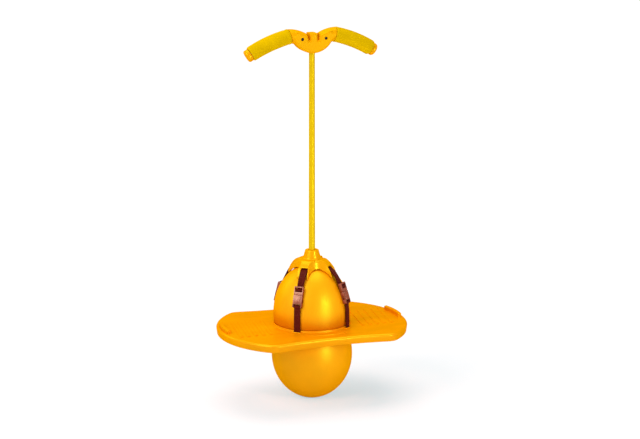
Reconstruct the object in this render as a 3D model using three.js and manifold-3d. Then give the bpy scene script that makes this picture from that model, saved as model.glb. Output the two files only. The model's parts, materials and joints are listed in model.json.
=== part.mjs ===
// Pogo ball with a T-handle. An inflated ball is pinched in the hole of a moulded foot deck.
// A four-legged claw sits on the ball and is strapped down to the deck with webbing and
// side-release buckles. A rod rises from the claw to a hub with two drooping foam grips.
// Millimetres, +Z up, +X along the deck and the handlebar, origin on the ground under the ball.
import * as THREE from 'three';
import { mergeVertices } from 'three/addons/utils/BufferGeometryUtils.js';
import Module from 'manifold-3d';

const wasm = await Module();
wasm.setup();

// Clearance between pieces that touch, and how far a cut or a joined piece runs past a face
const GAP = 0.3;
const PAST = 1;

// Ball, measured inflated: the deck pinches it into a lower and an upper lobe
const BALL_TOP = 302;
const BALL_WALL = 3.5;
const LOWER_LOBE_Z = 98;
const UPPER_LOBE_Z = 194;
const LOWER_BULGE = 10;
const UPPER_BULGE = 2;
const CONTACT_PATCH_R = 20;
const BALL_SIDES = 32;

// Needle valve in the back of the upper lobe
const VALVE_Z = 232;
const VALVE_STEM_R = 4;
const VALVE_FLANGE_R = 7;
const VALVE_FLANGE = 1.2;
const VALVE_LENGTH = 9;
const NEEDLE_R = 0.8;

// Foot deck: end arcs, waisted sides and rounded corners
const DECK_TOP = 168;
const DECK_DEPTH = 17.5;
const DECK_HALF_LENGTH = 214;
const DECK_HALF_WAIST = 136;
const END_ARC_R = 185;
const SIDE_ARC_R = 700;
const CORNER_R = 28;
const DECK_PLATE = 3.5;
const RIM_WALL = 4;
const RIM_DRAFT = 1.6;
const RIM_EDGE_R = 5;
const RIB_WIDTH = 2.6;
const RIB_RECESS = 5;
const RIB_ANGLES = [0, 22, 68, 90, 112, 158, 180, 202, 248, 270, 292, 338];
const HOLE_R = 80;
const COLLAR_WALL = 3;
const COLLAR_RISE = 4;
const COLLAR_CHAMFER = 4;

// Raised mouldings on top of the deck
const TOE_LIP_INSET = 7;
const TOE_LIP_WIDTH = 8;
const TOE_LIP_HEIGHT = 8.5;
const TOE_LIP_SPAN = 23.5;
const TOE_LIP_BACK = 4;
const TREAD_HEIGHT = 1.2;
const TREAD_BARS = 5;
const TREAD_PITCH = 17;
const TREAD_WIDTH = 7;
const TREAD_LENGTH = 120;
const TREAD_MARGIN = 14;
const TREAD_START = 108;
const TREAD_SLANT = 8;
const RING_BAR_R = 108;
const RING_BAR_WIDTH = 8;
const RING_BAR_SPAN = 46;

// Webbing straps, four in upright planes through the axis
const STRAP_ANGLES = [54, 126, 228, 312];
const STRAP_WIDTH = 15;
const STRAP_THICK = 1.6;
const STRAP_PLAY = 0.8;
const DECK_BAR_R = 2.5;
const DECK_BAR_DROP = 10.5;
const SLOT_CHEEK = 2.6;
const SLOT_FRAME = 3;
const SLOT_FRAME_RISE = 1.6;
const STRAP_STAND_OFF = 3.5;
const STRAP_MOUTH_IN = 2;
const STRAP_MOUTH_DROP = 4.5;
const STRAP_LEAD = 12;
const STRAP_SLACK = 3;
const STRAP_BENDS = [0.7, 0.45];

// Side-release buckles, in their own frame: x out of the face, y across, z up from the mouth of the lock
const BUCKLE_DROP = 78;
const BUCKLE_FOOT_OUT = 5.4;
const BUCKLE_LEAN = 18;
const REAR_BUCKLE_DROP = 96;
const REAR_BUCKLE_FOOT_OUT = 7.2;
const REAR_BUCKLE_LEAN = 15;
const BUCKLE_WIDTH = 21;
const BUCKLE_THICK = 8;
const BUCKLE_CORNER_R = 1.5;
const SOCKET_LENGTH = 19.5;
const SOCKET_WALL = 1.4;
const SOCKET_FACE = 1.4;
const STRAP_END_LENGTH = 7.5;
const BUCKLE_BAR_R = 2.1;
const SHOULDER_LENGTH = 7;
const LADDER_LENGTH = 12.5;
const LADDER_BAR_R = 1.9;
const LADDER_LIP_R = 1.7;
const LADDER_LIP_OUT = 2.8;
const TONGUE_WIDTH = 2.4;
const LATCH_INNER_Y = 5;
const LATCH_ARM_WIDTH = 2.4;
const LATCH_LENGTH = 15.8;
const BARB_START = 6.6;
const BARB_LENGTH = 8.6;
const BARB_PROUD = 0.3;
const BARB_CROWN = 0.4;
const BARB_EDGE = 0.6;

// Claw on top of the ball
const CLAW_SEAT = 0.6;
const CLAW_WEB_R = 46;
const NECK_BASE_R = 19.4;
const NECK_TOP_R = 15.5;
const NECK_EDGE_R = 2;
const NECK_BASE_UP = 14;
const NECK_HEIGHT = 19.5;
const SHOULDER_R = 26;
const SHOULDER_EASE = 10;
const LEG_ROOF_R = 43.5;
const LEG_REACH = 54;
const LEG_WIDTH = 30;
const LEG_TIP_THICK = 5;
const LEG_EASE_IN = 5;
const LEG_EASE_UP = 16.5;
const ARCH_R = 33;
const ARCH_APEX_R = 33;
const REAR_ARCH_R = 25;
const REAR_ARCH_APEX_R = 37;
const CLAW_BAR_R = 2.5;
const CLAW_BAR_AT = 38;
const POCKET_DEPTH = 5.2;

// Rod with its bolt and washer
const ROD_FOOT_R = 7.25;
const ROD_HEAD_R = 6.5;
const ROD_BORE_R = 4.8;
const ROD_PLUG = 22;
const CLAW_FLOOR_UP = 5.2;
const CLAW_FLOOR = 5;
const BOLT_R = 2.4;
const BOLT_HEAD_R = 4.6;
const BOLT_HEAD = 2.9;
const BOLT_REACH = 18;
const WASHER_R = 7;
const WASHER_THICK = 1.2;

// Handle hub: a bowl in two half shells
const HUB_BOTTOM = 774;
const BOWL_R = 48;
const BOWL_HALF = 45;
const HUB_DEPTH = 31;
const HUB_EDGE_R = 4.5;
const HUB_ARM_TOP = 50;
const HUB_ARM_DIP = 8;
const NOTCH_ROUND = 8;
const NOTCH_TOP_X = 13;
const NOTCH_FOOT_X = 11.5;
const NOTCH_FOOT_UP = 28;
const BLOCK_HALF = 8.5;
const BLOCK_FOOT_HALF = 9;
const BLOCK_TOP = 44;
const ROD_IN_HUB = 26;
const HUB_SLEEVE_R = 15.6;
const SLEEVE_INNER_X = 21;
const SLEEVE_DIP = 9;
const SLEEVE_PAST = 6;
const HUB_SCREW_X = 27;
const HUB_SCREW_UP = 32;
const SCREW_HEAD_R = 3.2;
const SCREW_HEAD = 2.2;
const SCREW_CHAMFER = 1;
const SCREW_R = 1.7;
const SCREW_LENGTH = 22;

// Handlebar arms: arcs that droop and sweep back from the hub
const ARM_X = 51;
const ARM_UP = 38;
const ARM_ARC_R = 300;
const ARM_DROOP = 13;
const ARM_SWEEP = 4;
const ARM_IN_HUB = 10;
const BAR_R = 11;
const BAR_WALL = 1.5;
const GRIP_R = 17;
const GRIP_LENGTH = 95;
const GRIP_SIDES = 18;
const CAP_R = 14;
const CAP_LENGTH = 11;
const CAP_EDGE_R = 4;
const CAP_PLUG = 12;
const CAP_PLUG_PLAY = 0.8;
const CAP_PLUG_CHAMFER = 1;

// Colours and finishes
const PAINTS = {
  ball: { color: 0xf6a416, roughness: 0.42, metalness: 0 },
  deck: { color: 0xf79a0c, roughness: 0.5, metalness: 0 },
  moulding: { color: 0xf9ae0a, roughness: 0.35, metalness: 0 },
  rod: { color: 0xf2cc0c, roughness: 0.3, metalness: 0.1 },
  foam: { color: 0xeab90c, roughness: 0.9, metalness: 0 },
  webbing: { color: 0x6b1a12, roughness: 0.85, metalness: 0 },
  buckle: { color: 0x8a3b2e, roughness: 0.25, metalness: 0 },
  rubber: { color: 0xd98a10, roughness: 0.7, metalness: 0 },
  steel: { color: 0xb4b6b8, roughness: 0.35, metalness: 1 },
};

const group = new THREE.Group();
group.name = 'pogo_ball';

const radians = THREE.MathUtils.degToRad;

// Geometry with shared corners merged, empty triangles dropped and faces turned outwards
function tidy(source) {
  const bare = source.clone();
  bare.deleteAttribute('normal');
  bare.deleteAttribute('uv');
  const merged = mergeVertices(bare, 1e-4);
  const at = merged.attributes.position;
  const corners = [];
  const a = new THREE.Vector3();
  const b = new THREE.Vector3();
  const c = new THREE.Vector3();
  let volume = 0;
  for (let i = 0; i < merged.index.count; i += 3) {
    const face = [0, 1, 2].map((k) => merged.index.getX(i + k));
    if (new Set(face).size < 3) continue;
    corners.push(face);
    volume += a.fromBufferAttribute(at, face[0])
      .dot(b.fromBufferAttribute(at, face[1]).cross(c.fromBufferAttribute(at, face[2])));
  }
  const geometry = new THREE.BufferGeometry();
  geometry.setAttribute('position', at);
  geometry.setIndex(corners.flatMap((face) => (volume < 0 ? [face[0], face[2], face[1]] : face)));
  return geometry;
}

function toSolid(geometry) {
  const clean = tidy(geometry);
  const vertProperties = new Float32Array(clean.attributes.position.array);
  const triVerts = new Uint32Array(clean.index.array);
  return new wasm.Manifold(new wasm.Mesh({ numProp: 3, vertProperties, triVerts }));
}

function fromSolid(solid) {
  const { vertProperties, triVerts } = solid.getMesh();
  const geometry = new THREE.BufferGeometry();
  geometry.setAttribute('position', new THREE.BufferAttribute(new Float32Array(vertProperties), 3));
  geometry.setIndex(new THREE.BufferAttribute(new Uint32Array(triVerts), 1));
  return geometry;
}

function join(first, ...others) {
  return fromSolid(others.reduce((solid, other) => solid.add(toSolid(other)), toSolid(first)));
}

function cut(first, ...others) {
  return fromSolid(others.reduce((solid, other) => solid.subtract(toSolid(other)), toSolid(first)));
}

function common(first, second) {
  return fromSolid(toSolid(first).intersect(toSolid(second)));
}

// Box between two corners
function block(x0, x1, y0, y1, z0, z1) {
  return new THREE.BoxGeometry(x1 - x0, y1 - y0, z1 - z0)
    .translate((x0 + x1) / 2, (y0 + y1) / 2, (z0 + z1) / 2);
}

// Solid of revolution about +Z from [radius, height] pairs
function turned(profile, sides) {
  const points = profile.map(([r, z]) => new THREE.Vector2(r, z));
  return new THREE.LatheGeometry(points, sides).rotateX(Math.PI / 2);
}

// Ring of revolution: the profile closes on itself
function turnedRing(profile, sides) {
  return turned([...profile, profile[0]], sides);
}

function rod(radius, z0, z1, sides = 24) {
  return turned([[0, z0], [radius, z0], [radius, z1], [0, z1]], sides);
}

// Round bar along Y, centred on Y = 0
function crossBar(radius, length, x, z) {
  return rod(radius, -length / 2, length / 2, 10).rotateX(Math.PI / 2).translate(x, 0, z);
}

// Outline in the X-Z plane extruded along Y, centred on Y = 0
function sidePrism(shape, width, edge = 0, curveSegments = 2) {
  const bevel = {
    bevelEnabled: edge > 0,
    bevelThickness: edge,
    bevelSize: edge,
    bevelOffset: -edge,
    bevelSegments: 2,
  };
  const settings = { depth: width - 2 * edge, curveSegments, ...bevel };
  return new THREE.ExtrudeGeometry(shape, settings)
    .translate(0, 0, edge - width / 2)
    .rotateX(Math.PI / 2);
}

// Outline in the Y-Z plane extruded along X, centred on X = 0
function facePrism(shape, thickness) {
  return new THREE.ExtrudeGeometry(shape, { depth: thickness, bevelEnabled: false, curveSegments: 2 })
    .translate(0, 0, -thickness / 2)
    .rotateX(Math.PI / 2)
    .rotateZ(Math.PI / 2);
}

// Tube or bar of a round section swept along a curve
function swept(curve, outer, inner, sides, steps) {
  const section = new THREE.Shape().absarc(0, 0, outer, 0, 2 * Math.PI);
  if (inner > 0) section.holes.push(new THREE.Path().absarc(0, 0, inner, 0, 2 * Math.PI));
  return new THREE.ExtrudeGeometry(section, { steps, curveSegments: sides, extrudePath: curve });
}

// Closed solid through level rings with equal numbers of points, seen anticlockwise from above
function loft(rings) {
  const count = rings[0].length;
  const middle = (ring) => ring.reduce((sum, p) => sum.add(p), new THREE.Vector3()).divideScalar(count);
  const points = [...rings.flat(), middle(rings[0]), middle(rings[rings.length - 1])];
  const low = rings.length * count;
  const faces = [];
  for (let i = 0; i < count; i++) {
    const next = (i + 1) % count;
    for (let k = 0; k + 1 < rings.length; k++) {
      const here = k * count;
      const above = here + count;
      faces.push(here + i, here + next, above + next, here + i, above + next, above + i);
    }
    const top = (rings.length - 1) * count;
    faces.push(low, next, i, low + 1, top + i, top + next);
  }
  const geometry = new THREE.BufferGeometry().setFromPoints(points);
  geometry.setIndex(faces);
  return geometry;
}

function addPiece(name, geometry, paint, parent = group) {
  const clean = tidy(geometry);
  clean.computeVertexNormals();
  const mesh = new THREE.Mesh(clean, new THREE.MeshStandardMaterial(PAINTS[paint]));
  mesh.name = name;
  parent.add(mesh);
}

// Group standing in the vertical plane of a strap: x is the radius from the axis, z the height
function strapPlane(angle) {
  const plane = new THREE.Group();
  plane.rotation.z = radians(angle);
  group.add(plane);
  return plane;
}

// Ball
const deckBottom = DECK_TOP - DECK_DEPTH;
const collarTop = DECK_TOP + COLLAR_RISE;
const waistR = HOLE_R - GAP;
const flareR = waistR + COLLAR_CHAMFER;
const upperLobeR = flareR + UPPER_BULGE;
const lowerLobeR = waistR + LOWER_BULGE;
const upperLobeRise = BALL_TOP - UPPER_LOBE_Z;

// Half height that an ellipse of a given half width needs to pass a radius at a given height
function ellipseRise(halfWidth, radius, height) {
  return height / Math.sqrt(1 - (radius / halfWidth) ** 2);
}

function ellipseArc(halfWidth, rise, centreZ, from, to, steps) {
  return Array.from({ length: steps + 1 }, (_, i) => {
    const angle = from + ((to - from) * i) / steps;
    return [halfWidth * Math.cos(angle), centreZ + rise * Math.sin(angle)];
  });
}

// Outside of the ball, or its inside when inset by the wall
function ballProfile(inset, steps) {
  const lower = lowerLobeR - inset;
  const upper = upperLobeR - inset;
  const waist = waistR - inset;
  const flare = flareR - inset;
  const patch = CONTACT_PATCH_R - inset;
  const waistZ = deckBottom - GAP;
  const flareZ = collarTop + GAP;
  const lowRise = ellipseRise(lower, patch, LOWER_LOBE_Z - inset);
  const highRise = ellipseRise(lower, waist, waistZ - LOWER_LOBE_Z);
  const flareRise = ellipseRise(upper, flare, UPPER_LOBE_Z - flareZ);
  return [
    [0, inset],
    ...ellipseArc(lower, lowRise, LOWER_LOBE_Z, -Math.acos(patch / lower), 0, steps),
    ...ellipseArc(lower, highRise, LOWER_LOBE_Z, 0, Math.acos(waist / lower), steps / 2).slice(1),
    [waist, collarTop - COLLAR_CHAMFER + GAP],
    ...ellipseArc(upper, flareRise, UPPER_LOBE_Z, -Math.acos(flare / upper), 0, 2),
    ...ellipseArc(upper, upperLobeRise - inset, UPPER_LOBE_Z, 0, Math.PI / 2, steps).slice(1, -1),
    [0, BALL_TOP - inset],
  ];
}

// Height of the ball's top at a radius, and its radius at a height above the upper lobe's middle
function ballTopAt(radius) {
  return UPPER_LOBE_Z + upperLobeRise * Math.sqrt(1 - (radius / upperLobeR) ** 2);
}

function ballRadiusAt(z) {
  return upperLobeR * Math.sqrt(1 - ((z - UPPER_LOBE_Z) / upperLobeRise) ** 2);
}

// Move a piece made about +Z onto the back of the ball, square to its surface
function onValveSeat(geometry) {
  const radius = ballRadiusAt(VALVE_Z);
  const tilt = Math.atan2((VALVE_Z - UPPER_LOBE_Z) / upperLobeRise ** 2, radius / upperLobeR ** 2);
  return geometry.rotateX(tilt - Math.PI / 2).translate(0, radius, VALVE_Z);
}

function makeBall() {
  const shell = turned(ballProfile(0, 6), BALL_SIDES);
  const inside = turned(ballProfile(BALL_WALL, 4), BALL_SIDES / 2);
  const hole = onValveSeat(rod(VALVE_STEM_R + GAP, -2 * BALL_WALL, 2 * BALL_WALL, 12));
  addPiece('ball', cut(shell, inside, hole), 'ball');
}

function makeValve() {
  const seat = 2 * GAP;
  const plug = turnedRing([
    [NEEDLE_R, seat - VALVE_LENGTH],
    [VALVE_STEM_R, seat - VALVE_LENGTH],
    [VALVE_STEM_R, seat],
    [VALVE_FLANGE_R, seat],
    [VALVE_FLANGE_R - VALVE_FLANGE, seat + VALVE_FLANGE],
    [NEEDLE_R, seat + VALVE_FLANGE],
  ], 12);
  addPiece('inflation_valve', onValveSeat(plug), 'rubber');
}

// Deck
const endCentreX = DECK_HALF_LENGTH - END_ARC_R;
const sideCentreY = DECK_HALF_WAIST + SIDE_ARC_R;

// Centre of the rounded corner, which touches the end arc inside and the side arc outside
function cornerCentre() {
  const toEnd = END_ARC_R - CORNER_R;
  const toSide = SIDE_ARC_R + CORNER_R;
  const span = Math.hypot(endCentreX, sideCentreY);
  const along = (toEnd ** 2 - toSide ** 2 + span ** 2) / (2 * span);
  const across = Math.sqrt(toEnd ** 2 - along ** 2);
  const ux = -endCentreX / span;
  const uy = sideCentreY / span;
  return new THREE.Vector2(endCentreX + along * ux + across * uy, along * uy - across * ux);
}

// One level ring of the deck's outline, moved inwards by an inset
function deckRing(inset, z) {
  const corner = cornerCentre();
  const endTurn = Math.atan2(corner.y, corner.x - endCentreX);
  const sideTurn = Math.atan2(sideCentreY - corner.y, corner.x);
  const points = [];
  const arc = (cx, cy, radius, from, to, steps) => {
    for (let i = 0; i < steps; i++) {
      const angle = from + ((to - from) * i) / steps;
      points.push(new THREE.Vector3(cx + radius * Math.cos(angle), cy + radius * Math.sin(angle), z));
    }
  };
  for (const [side, turn] of [[1, 0], [-1, Math.PI]]) {
    const cornerR = CORNER_R - inset;
    const endR = END_ARC_R - inset;
    const sideR = SIDE_ARC_R + inset;
    const sideUp = Math.PI - sideTurn;
    arc(side * corner.x, -side * corner.y, cornerR, turn - sideUp, turn - endTurn, 4);
    arc(side * endCentreX, 0, endR, turn - endTurn, turn + endTurn, 10);
    arc(side * corner.x, side * corner.y, cornerR, turn + endTurn, turn + sideUp, 4);
    arc(0, side * sideCentreY, sideR, turn - sideTurn, turn + sideTurn - Math.PI, 8);
  }
  return points;
}

function deckBody() {
  const rings = [deckRing(RIM_DRAFT, deckBottom), deckRing(0, DECK_TOP - RIM_EDGE_R)];
  for (const angle of [45, 90].map(radians)) {
    const inset = RIM_EDGE_R * (1 - Math.cos(angle));
    rings.push(deckRing(inset, DECK_TOP - RIM_EDGE_R * (1 - Math.sin(angle))));
  }
  return loft(rings);
}

// Straight-walled solid inside the deck's outline
function deckCore(inset, z0, z1) {
  return loft([deckRing(inset, z0), deckRing(inset, z1)]);
}

// Flat bar bent round a centre, with square ends
function arcBar(centreX, radius, width, span, turn, z0, z1, middle = 0) {
  const half = radians(span / 2);
  const outline = new THREE.Shape()
    .absarc(0, 0, radius + width / 2, -half, half)
    .absarc(0, 0, radius - width / 2, half, -half, true);
  return new THREE.ExtrudeGeometry(outline, { depth: z1 - z0, bevelEnabled: false, curveSegments: 3 })
    .rotateZ(radians(middle))
    .translate(centreX, 0, z0)
    .rotateZ(radians(turn));
}

function treadBar(x, side) {
  const slant = (TREAD_LENGTH / 2) * Math.tan(radians(TREAD_SLANT));
  const half = TREAD_WIDTH / 2;
  const reach = TREAD_LENGTH / 2;
  const outline = new THREE.Shape([
    new THREE.Vector2(x - half - slant, -reach),
    new THREE.Vector2(x + half - slant, -reach),
    new THREE.Vector2(x + half + slant, reach),
    new THREE.Vector2(x - half + slant, reach),
  ]);
  return new THREE.ExtrudeGeometry(outline, { depth: TREAD_HEIGHT + PAST, bevelEnabled: false })
    .translate(0, 0, DECK_TOP - PAST)
    .rotateZ(side > 0 ? 0 : Math.PI);
}

const slotR = upperLobeR + STRAP_STAND_OFF;
const slotHalf = STRAP_WIDTH / 2 + STRAP_PLAY;
const slotDepth = STRAP_THICK + 2 * STRAP_PLAY;
const deckBarZ = DECK_TOP - DECK_BAR_DROP;
const strapEye = DECK_BAR_R + GAP + STRAP_THICK;

// Frame above each strap slot, and the block under the deck that the slot leaves as two cheeks for the bar
function slotMouldings() {
  const outer = slotHalf + SLOT_CHEEK;
  const frameIn = slotR - slotDepth / 2 - SLOT_FRAME;
  const frameOut = slotR + slotDepth / 2 + SLOT_FRAME;
  const foot = deckBarZ - DECK_BAR_R - PAST;
  return [
    block(frameIn, frameOut, -outer, outer, DECK_TOP - 2 * PAST, DECK_TOP + SLOT_FRAME_RISE),
    block(slotR - strapEye, slotR + strapEye, PAST - outer, outer - PAST, foot, DECK_TOP - PAST),
  ];
}

function makeDeck() {
  const plateBottom = DECK_TOP - DECK_PLATE;
  const collarR = HOLE_R + COLLAR_CHAMFER + COLLAR_WALL;
  const inner = deckCore(RIM_DRAFT + RIM_WALL / 2, deckBottom, DECK_TOP - PAST);
  const ribs = RIB_ANGLES.map((angle) => {
    const reach = DECK_HALF_LENGTH + CORNER_R;
    const half = RIB_WIDTH / 2;
    return block(HOLE_R + PAST, reach, -half, half, deckBottom + RIB_RECESS, plateBottom + PAST)
      .rotateZ(radians(angle));
  });
  const lips = [0, 180].map((turn) => {
    const radius = END_ARC_R - TOE_LIP_INSET - TOE_LIP_WIDTH / 2;
    const top = DECK_TOP + TOE_LIP_HEIGHT;
    const middle = turn === 0 ? TOE_LIP_BACK : -TOE_LIP_BACK;
    return arcBar(endCentreX, radius, TOE_LIP_WIDTH, TOE_LIP_SPAN, turn, DECK_TOP - PAST, top, middle);
  });
  const ringBars = [90, 270].map((turn) => {
    const top = DECK_TOP + TREAD_HEIGHT;
    return arcBar(0, RING_BAR_R, RING_BAR_WIDTH, RING_BAR_SPAN, turn, DECK_TOP - PAST, top);
  });
  const treadBars = [];
  for (const side of [1, -1]) {
    for (let i = 0; i < TREAD_BARS; i++) treadBars.push(treadBar(TREAD_START + i * TREAD_PITCH, side));
  }
  const tread = deckCore(TREAD_MARGIN, plateBottom, DECK_TOP + 2 * TREAD_HEIGHT);
  const shell = cut(deckBody(), deckCore(RIM_DRAFT + RIM_WALL, deckBottom - PAST, plateBottom));
  const web = common(join(...ribs), inner);
  const collar = rod(collarR, deckBottom, collarTop, BALL_SIDES);
  const hole = turned([
    [0, deckBottom - PAST],
    [HOLE_R, deckBottom - PAST],
    [HOLE_R, collarTop - COLLAR_CHAMFER],
    [HOLE_R + COLLAR_CHAMFER, collarTop],
    [HOLE_R + COLLAR_CHAMFER, collarTop + PAST],
    [0, collarTop + PAST],
  ], BALL_SIDES);
  const around = (pieces) => STRAP_ANGLES.flatMap((angle) => pieces().map((p) => p.rotateZ(radians(angle))));
  const slots = around(() => [
    block(slotR - slotDepth / 2, slotR + slotDepth / 2, -slotHalf, slotHalf, deckBottom, collarTop + PAST),
    block(slotR - strapEye - PAST, slotR + strapEye + PAST, -slotHalf, slotHalf, deckBottom - PAST, plateBottom),
  ]);
  const bars = around(() => [crossBar(DECK_BAR_R, 2 * slotHalf + SLOT_CHEEK, slotR, deckBarZ)]);
  const mouldings = around(slotMouldings);
  const treads = common(join(...treadBars), tread);
  const solid = join(shell, web, collar, ...lips, ...ringBars, treads, ...mouldings);
  addPiece('deck', join(cut(solid, hole, ...slots), ...bars), 'deck');
}

// Claw
const clawBarZ = ballTopAt(CLAW_BAR_AT) + CLAW_SEAT + POCKET_DEPTH;
const neckBase = BALL_TOP + NECK_BASE_UP;
const neckTop = neckBase + NECK_HEIGHT;
const clawFloor = BALL_TOP + CLAW_FLOOR_UP;
const rodFoot = clawFloor + CLAW_FLOOR + GAP;

// Underside of the claw, which follows the ball, from a radius to another
function clawSeat(from, to, steps) {
  return Array.from({ length: steps + 1 }, (_, i) => {
    const radius = from + ((to - from) * i) / steps;
    return [radius, ballTopAt(radius) + CLAW_SEAT];
  });
}

// Neck and the dome between the legs, turned in one
function clawDome() {
  const edge = [90, 60, 30, 0].map(radians).map((angle) => [
    NECK_TOP_R - NECK_EDGE_R + NECK_EDGE_R * Math.cos(angle),
    neckTop - NECK_EDGE_R + NECK_EDGE_R * Math.sin(angle),
  ]);
  const rim = ballTopAt(CLAW_WEB_R) + CLAW_SEAT;
  return turned([
    [0, neckTop],
    ...edge,
    [NECK_BASE_R, neckBase],
    [(NECK_BASE_R + SHOULDER_R) / 2, neckBase - NECK_BASE_UP / 3],
    [CLAW_WEB_R, rim + LEG_TIP_THICK],
    ...clawSeat(CLAW_WEB_R, 0, 6),
  ], 20);
}

// One leg, drawn from the side and extruded across
function clawLeg() {
  const tip = ballTopAt(LEG_REACH) + CLAW_SEAT;
  const outline = new THREE.Shape();
  outline.moveTo(NECK_BASE_R / 2, neckBase);
  outline.lineTo(SHOULDER_R, neckBase);
  outline.bezierCurveTo(
    SHOULDER_R + SHOULDER_EASE, neckBase,
    LEG_REACH - LEG_EASE_IN, tip + LEG_TIP_THICK + LEG_EASE_UP,
    LEG_REACH, tip + LEG_TIP_THICK,
  );
  for (const [radius, z] of clawSeat(LEG_REACH, NECK_BASE_R / 2, 6)) outline.lineTo(radius, z);
  return sidePrism(outline, LEG_WIDTH, 0, 6);
}

function makeClaw() {
  const legs = STRAP_ANGLES.map((angle) => clawLeg().rotateZ(radians(angle)));
  const arch = (angle, radius, apex) => rod(radius, UPPER_LOBE_Z, neckTop, 20)
    .translate(radius + apex, 0, 0)
    .rotateZ(radians(angle));
  const arches = [
    arch(90, REAR_ARCH_R, REAR_ARCH_APEX_R),
    ...[0, 180, 270].map((angle) => arch(angle, ARCH_R, ARCH_APEX_R)),
  ];
  const eye = CLAW_BAR_R + GAP + STRAP_THICK;
  const pocketIn = CLAW_BAR_AT - eye - STRAP_PLAY;
  const pocketTop = clawBarZ + eye + STRAP_PLAY;
  const past = LEG_REACH + LEG_WIDTH;
  const pockets = STRAP_ANGLES.flatMap((angle) => [
    block(pocketIn, past, -slotHalf, slotHalf, UPPER_LOBE_Z, pocketTop),
    block(LEG_ROOF_R, past, -slotHalf, slotHalf, UPPER_LOBE_Z, neckTop),
  ].map((piece) => piece.rotateZ(radians(angle))));
  const bars = STRAP_ANGLES.map((angle) => crossBar(CLAW_BAR_R, (LEG_WIDTH / 2 + slotHalf), CLAW_BAR_AT, clawBarZ)
    .rotateZ(radians(angle)));
  const socket = rod(ROD_FOOT_R + GAP, clawFloor + CLAW_FLOOR, neckTop + PAST, 16);
  const boltHole = rod(BOLT_R + GAP, BALL_TOP, neckTop, 12);
  const recess = rod(WASHER_R + GAP, UPPER_LOBE_Z, clawFloor, 16);
  const body = cut(join(clawDome(), ...legs), ...arches, ...pockets, socket, boltHole, recess);
  addPiece('claw', join(body, ...bars), 'moulding');
}

// Rod, bolt and washer
function makeRod() {
  const rodHead = HUB_BOTTOM + ROD_IN_HUB - GAP;
  const tube = turnedRing([
    [BOLT_R + GAP, rodFoot],
    [ROD_FOOT_R, rodFoot],
    [ROD_HEAD_R, rodHead],
    [ROD_BORE_R, rodHead],
    [ROD_BORE_R, rodFoot + ROD_PLUG],
    [BOLT_R + GAP, rodFoot + ROD_PLUG],
  ], 24);
  addPiece('rod', tube, 'rod');

  const washerTop = clawFloor - GAP;
  const washerFoot = washerTop - WASHER_THICK;
  const washer = turnedRing([
    [BOLT_R + GAP, washerFoot],
    [WASHER_R, washerFoot],
    [WASHER_R, washerTop],
    [BOLT_R + GAP, washerTop],
  ], 20);
  addPiece('rod_washer', washer, 'steel');

  const headTop = washerFoot - GAP;
  const head = rod(BOLT_HEAD_R, headTop - BOLT_HEAD, headTop, 6);
  const shank = rod(BOLT_R, headTop - PAST, rodFoot + BOLT_REACH, 12);
  addPiece('rod_bolt', join(head, shank), 'steel');
}

// Handlebar arm centreline: an arc in a vertical plane, from distances along it
class ArmCurve extends THREE.Curve {
  constructor(side, from, to) {
    super();
    this.side = side;
    this.from = from;
    this.to = to;
  }

  getPoint(t, target = new THREE.Vector3()) {
    const start = radians(ARM_DROOP);
    const angle = start + (this.from + (this.to - this.from) * t) / ARM_ARC_R;
    const out = ARM_ARC_R * (Math.sin(angle) - Math.sin(start));
    const drop = ARM_ARC_R * (Math.cos(start) - Math.cos(angle));
    const sweep = radians(ARM_SWEEP);
    const x = this.side * (ARM_X + out * Math.cos(sweep));
    return target.set(x, out * Math.sin(sweep), HUB_BOTTOM + ARM_UP - drop);
  }
}

// Bowl of the hub seen from the front, with a notch each side of the middle block
function bowlOutline() {
  const centreZ = HUB_BOTTOM + BOWL_R;
  const lift = Math.acos(BOWL_HALF / BOWL_R);
  const armTop = HUB_BOTTOM + HUB_ARM_TOP;
  const dipTop = armTop - HUB_ARM_DIP;
  const notchZ = HUB_BOTTOM + NOTCH_FOOT_UP;
  const blockTop = HUB_BOTTOM + BLOCK_TOP;
  const outline = new THREE.Shape();
  outline.absarc(0, centreZ, BOWL_R, Math.PI + lift, 2 * Math.PI - lift);
  outline.lineTo(BOWL_HALF, armTop - 2 * HUB_EDGE_R);
  outline.lineTo(BOWL_HALF - HUB_EDGE_R, armTop);
  outline.lineTo(NOTCH_TOP_X + NOTCH_ROUND, dipTop);
  outline.quadraticCurveTo(NOTCH_TOP_X, dipTop, NOTCH_TOP_X, dipTop - NOTCH_ROUND);
  outline.lineTo(NOTCH_FOOT_X, notchZ);
  outline.lineTo(BLOCK_FOOT_HALF, notchZ);
  outline.lineTo(BLOCK_HALF, blockTop);
  outline.lineTo(-BLOCK_HALF, blockTop);
  outline.lineTo(-BLOCK_FOOT_HALF, notchZ);
  outline.lineTo(-NOTCH_FOOT_X, notchZ);
  outline.lineTo(-NOTCH_TOP_X, dipTop - NOTCH_ROUND);
  outline.quadraticCurveTo(-NOTCH_TOP_X, dipTop, -NOTCH_TOP_X - NOTCH_ROUND, dipTop);
  outline.lineTo(HUB_EDGE_R - BOWL_HALF, armTop);
  outline.lineTo(-BOWL_HALF, armTop - 2 * HUB_EDGE_R);
  return outline;
}

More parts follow.
